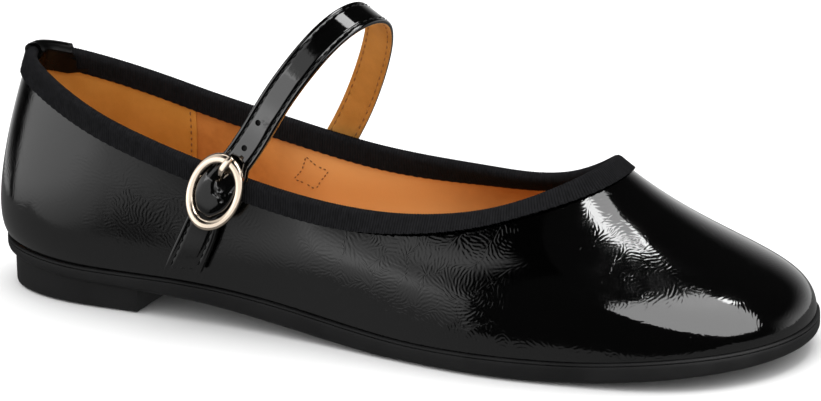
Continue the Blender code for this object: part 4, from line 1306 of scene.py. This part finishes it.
def set_world():
    """White where it is seen directly; for the gloss, a pale backdrop and floor behind and dark elsewhere."""
    world = bpy.data.worlds.new("studio")
    world.use_nodes = True
    w = Wiring(world.node_tree)
    backdrop = world.node_tree.nodes["Background"]
    path = w.add("ShaderNodeLightPath")
    ray = w.vector("NORMALIZE", w.add("ShaderNodeTexCoord").outputs["Generated"])
    x, y, z = w.axes(ray)
    level = w.math("SQRT", w.math("MAXIMUM", w.math("SUBTRACT", 1.0, w.math("MULTIPLY", z, z)), 1e-6))
    behind = w.ranged(w.math("DIVIDE", y, level), 0.3, 0.8)
    low = w.math("SUBTRACT", 1.0, w.ranged(z, -0.12, 0.42))
    below = w.ranged(w.math("MULTIPLY", z, -1.0), 0.12, 0.22)
    heelward = w.ranged(w.math("DIVIDE", w.math("MULTIPLY", x, -1.0), level), 0.45, 0.8)
    heelward = w.math("MULTIPLY", heelward, w.ranged(w.math("DIVIDE", y, level), 0.05, 0.25))
    pale = w.math("MAXIMUM", w.math("MULTIPLY", behind, low), w.math("MULTIPLY", below, heelward))
    tone = w.mix(pale, (0.015, 0.015, 0.015, 1), (0.87, 0.87, 0.87, 1))
    tone = w.mix(path.outputs["Is Diffuse Ray"], tone, (1.75, 1.75, 1.75, 1))
    tone = w.mix(path.outputs["Is Camera Ray"], tone, (0.985, 0.985, 0.985, 1))
    w.link(tone, backdrop.inputs["Color"])
    bpy.context.scene.world = world
    bpy.context.scene.view_settings.view_transform = "Standard"


def add_stage():
    """Camera, floor, panels and surroundings, before any piece of the shoe."""
    add_camera()
    add_floor()
    overhead("top panel", (0.635, 0.835), (-0.12, 1.22), 2.0, 10.0, turn=-2)
    overhead("side of top panel", (0.835, 1.06), (-0.05, 1.05), 2.0, 2.2, turn=-2)
    gloss_card("toe card", (0.167, 1.5), (-0.55, 0.13), 0.3, 3.0)
    add_heel_panel()
    overhead("fill", (-1.6, 0.9), (-1.4, 1.4), 2.2, 1.6, glossy=False)
    set_world()


def add_piece_lights():
    """Cards for the small pieces: a pale surround for the gold, and one by the strap's flat face."""
    gold = [bpy.data.objects[name] for name in ("buckle_frame", "buckle_tongue")]
    only_for([overhead("gold card under", (-0.7, 0.5), (-1.7, -0.08), 0.002, 0.95, diffuse=False),
              facing("gold card toe side", -35, 12, 1.2, 1.0, 0.9, 0.9, diffuse=False),
              facing("gold card top", -100, 68, 1.4, 1.3, 0.8, 1.1, diffuse=False)], gold)
    strap = [bpy.data.objects["strap_patent"]]
    only_for([facing("strap card", -120, 13, 1.4, 0.62, 0.9, 1.55, diffuse=False),
              facing("strap card above", -114, 38, 1.4, 0.62, 0.8, 0.6, diffuse=False),
              overhead("crown card", (-0.20, 0.74), (0.46, 1.02), 2.0, 5.5, turn=-45, diffuse=False)], strap)


# ---------------------------------------------------------------- the shoe

def main():
    """Builds the stage and then the shoe, piece by piece."""
    add_stage()
    crinkle = crinkle_group()
    grain = grain_group()
    patent = patent_material("crinkled patent", grain, crinkle)
    smooth_patent = patent_material("smooth patent", grain)
    # the paler third tone on the front lining and the sock is painted sheen towards the front
    front_lining = lining_material("tan lining", grain, ((0.39, 0.152, 0.033, 1), (0.51, 0.215, 0.05, 1)),
                                   painted_sheen=(0.66, 0.335, 0.115, 1))
    heel_lining = lining_material("mustard lining", grain, ((0.46, 0.21, 0.036, 1), (0.54, 0.255, 0.048, 1)))
    strap_tan = lining_material("tan strap backing", grain, ((0.33, 0.14, 0.024, 1), (0.41, 0.18, 0.034, 1)))
    ribbon = ribbon_material("black ribbon", grain, 0.0055, 0.0085)
    # near-black ribbon for the faces between the ribs: painted shade in the grooves
    groove = ribbon_material("ribbon groove shade", grain, 0.0001, 0.0003)
    rubber = rubber_material(grain)
    black_thread = thread_material("black thread", (0.006, 0.006, 0.0065))
    tan_thread = thread_material("brown thread", (0.24, 0.10, 0.028))
    gold = gold_material()
    upper_shell(patent)
    linings(front_lining, heel_lining)
    sock(front_lining)
    binding(ribbon, groove)
    binding_stitches(black_thread)
    back_tab(tab_material(grain))
    # the black thread finish also serves as the painted shade in the strap's holes
    strap_pieces(smooth_patent, strap_tan, black_thread)
    strap_stitches(black_thread, tan_thread)
    lining_stitches(tan_thread)
    chape(smooth_patent)
    ring(gold)
    prong(gold)
    add_piece_lights()
    sole_unit(rubber)


main()
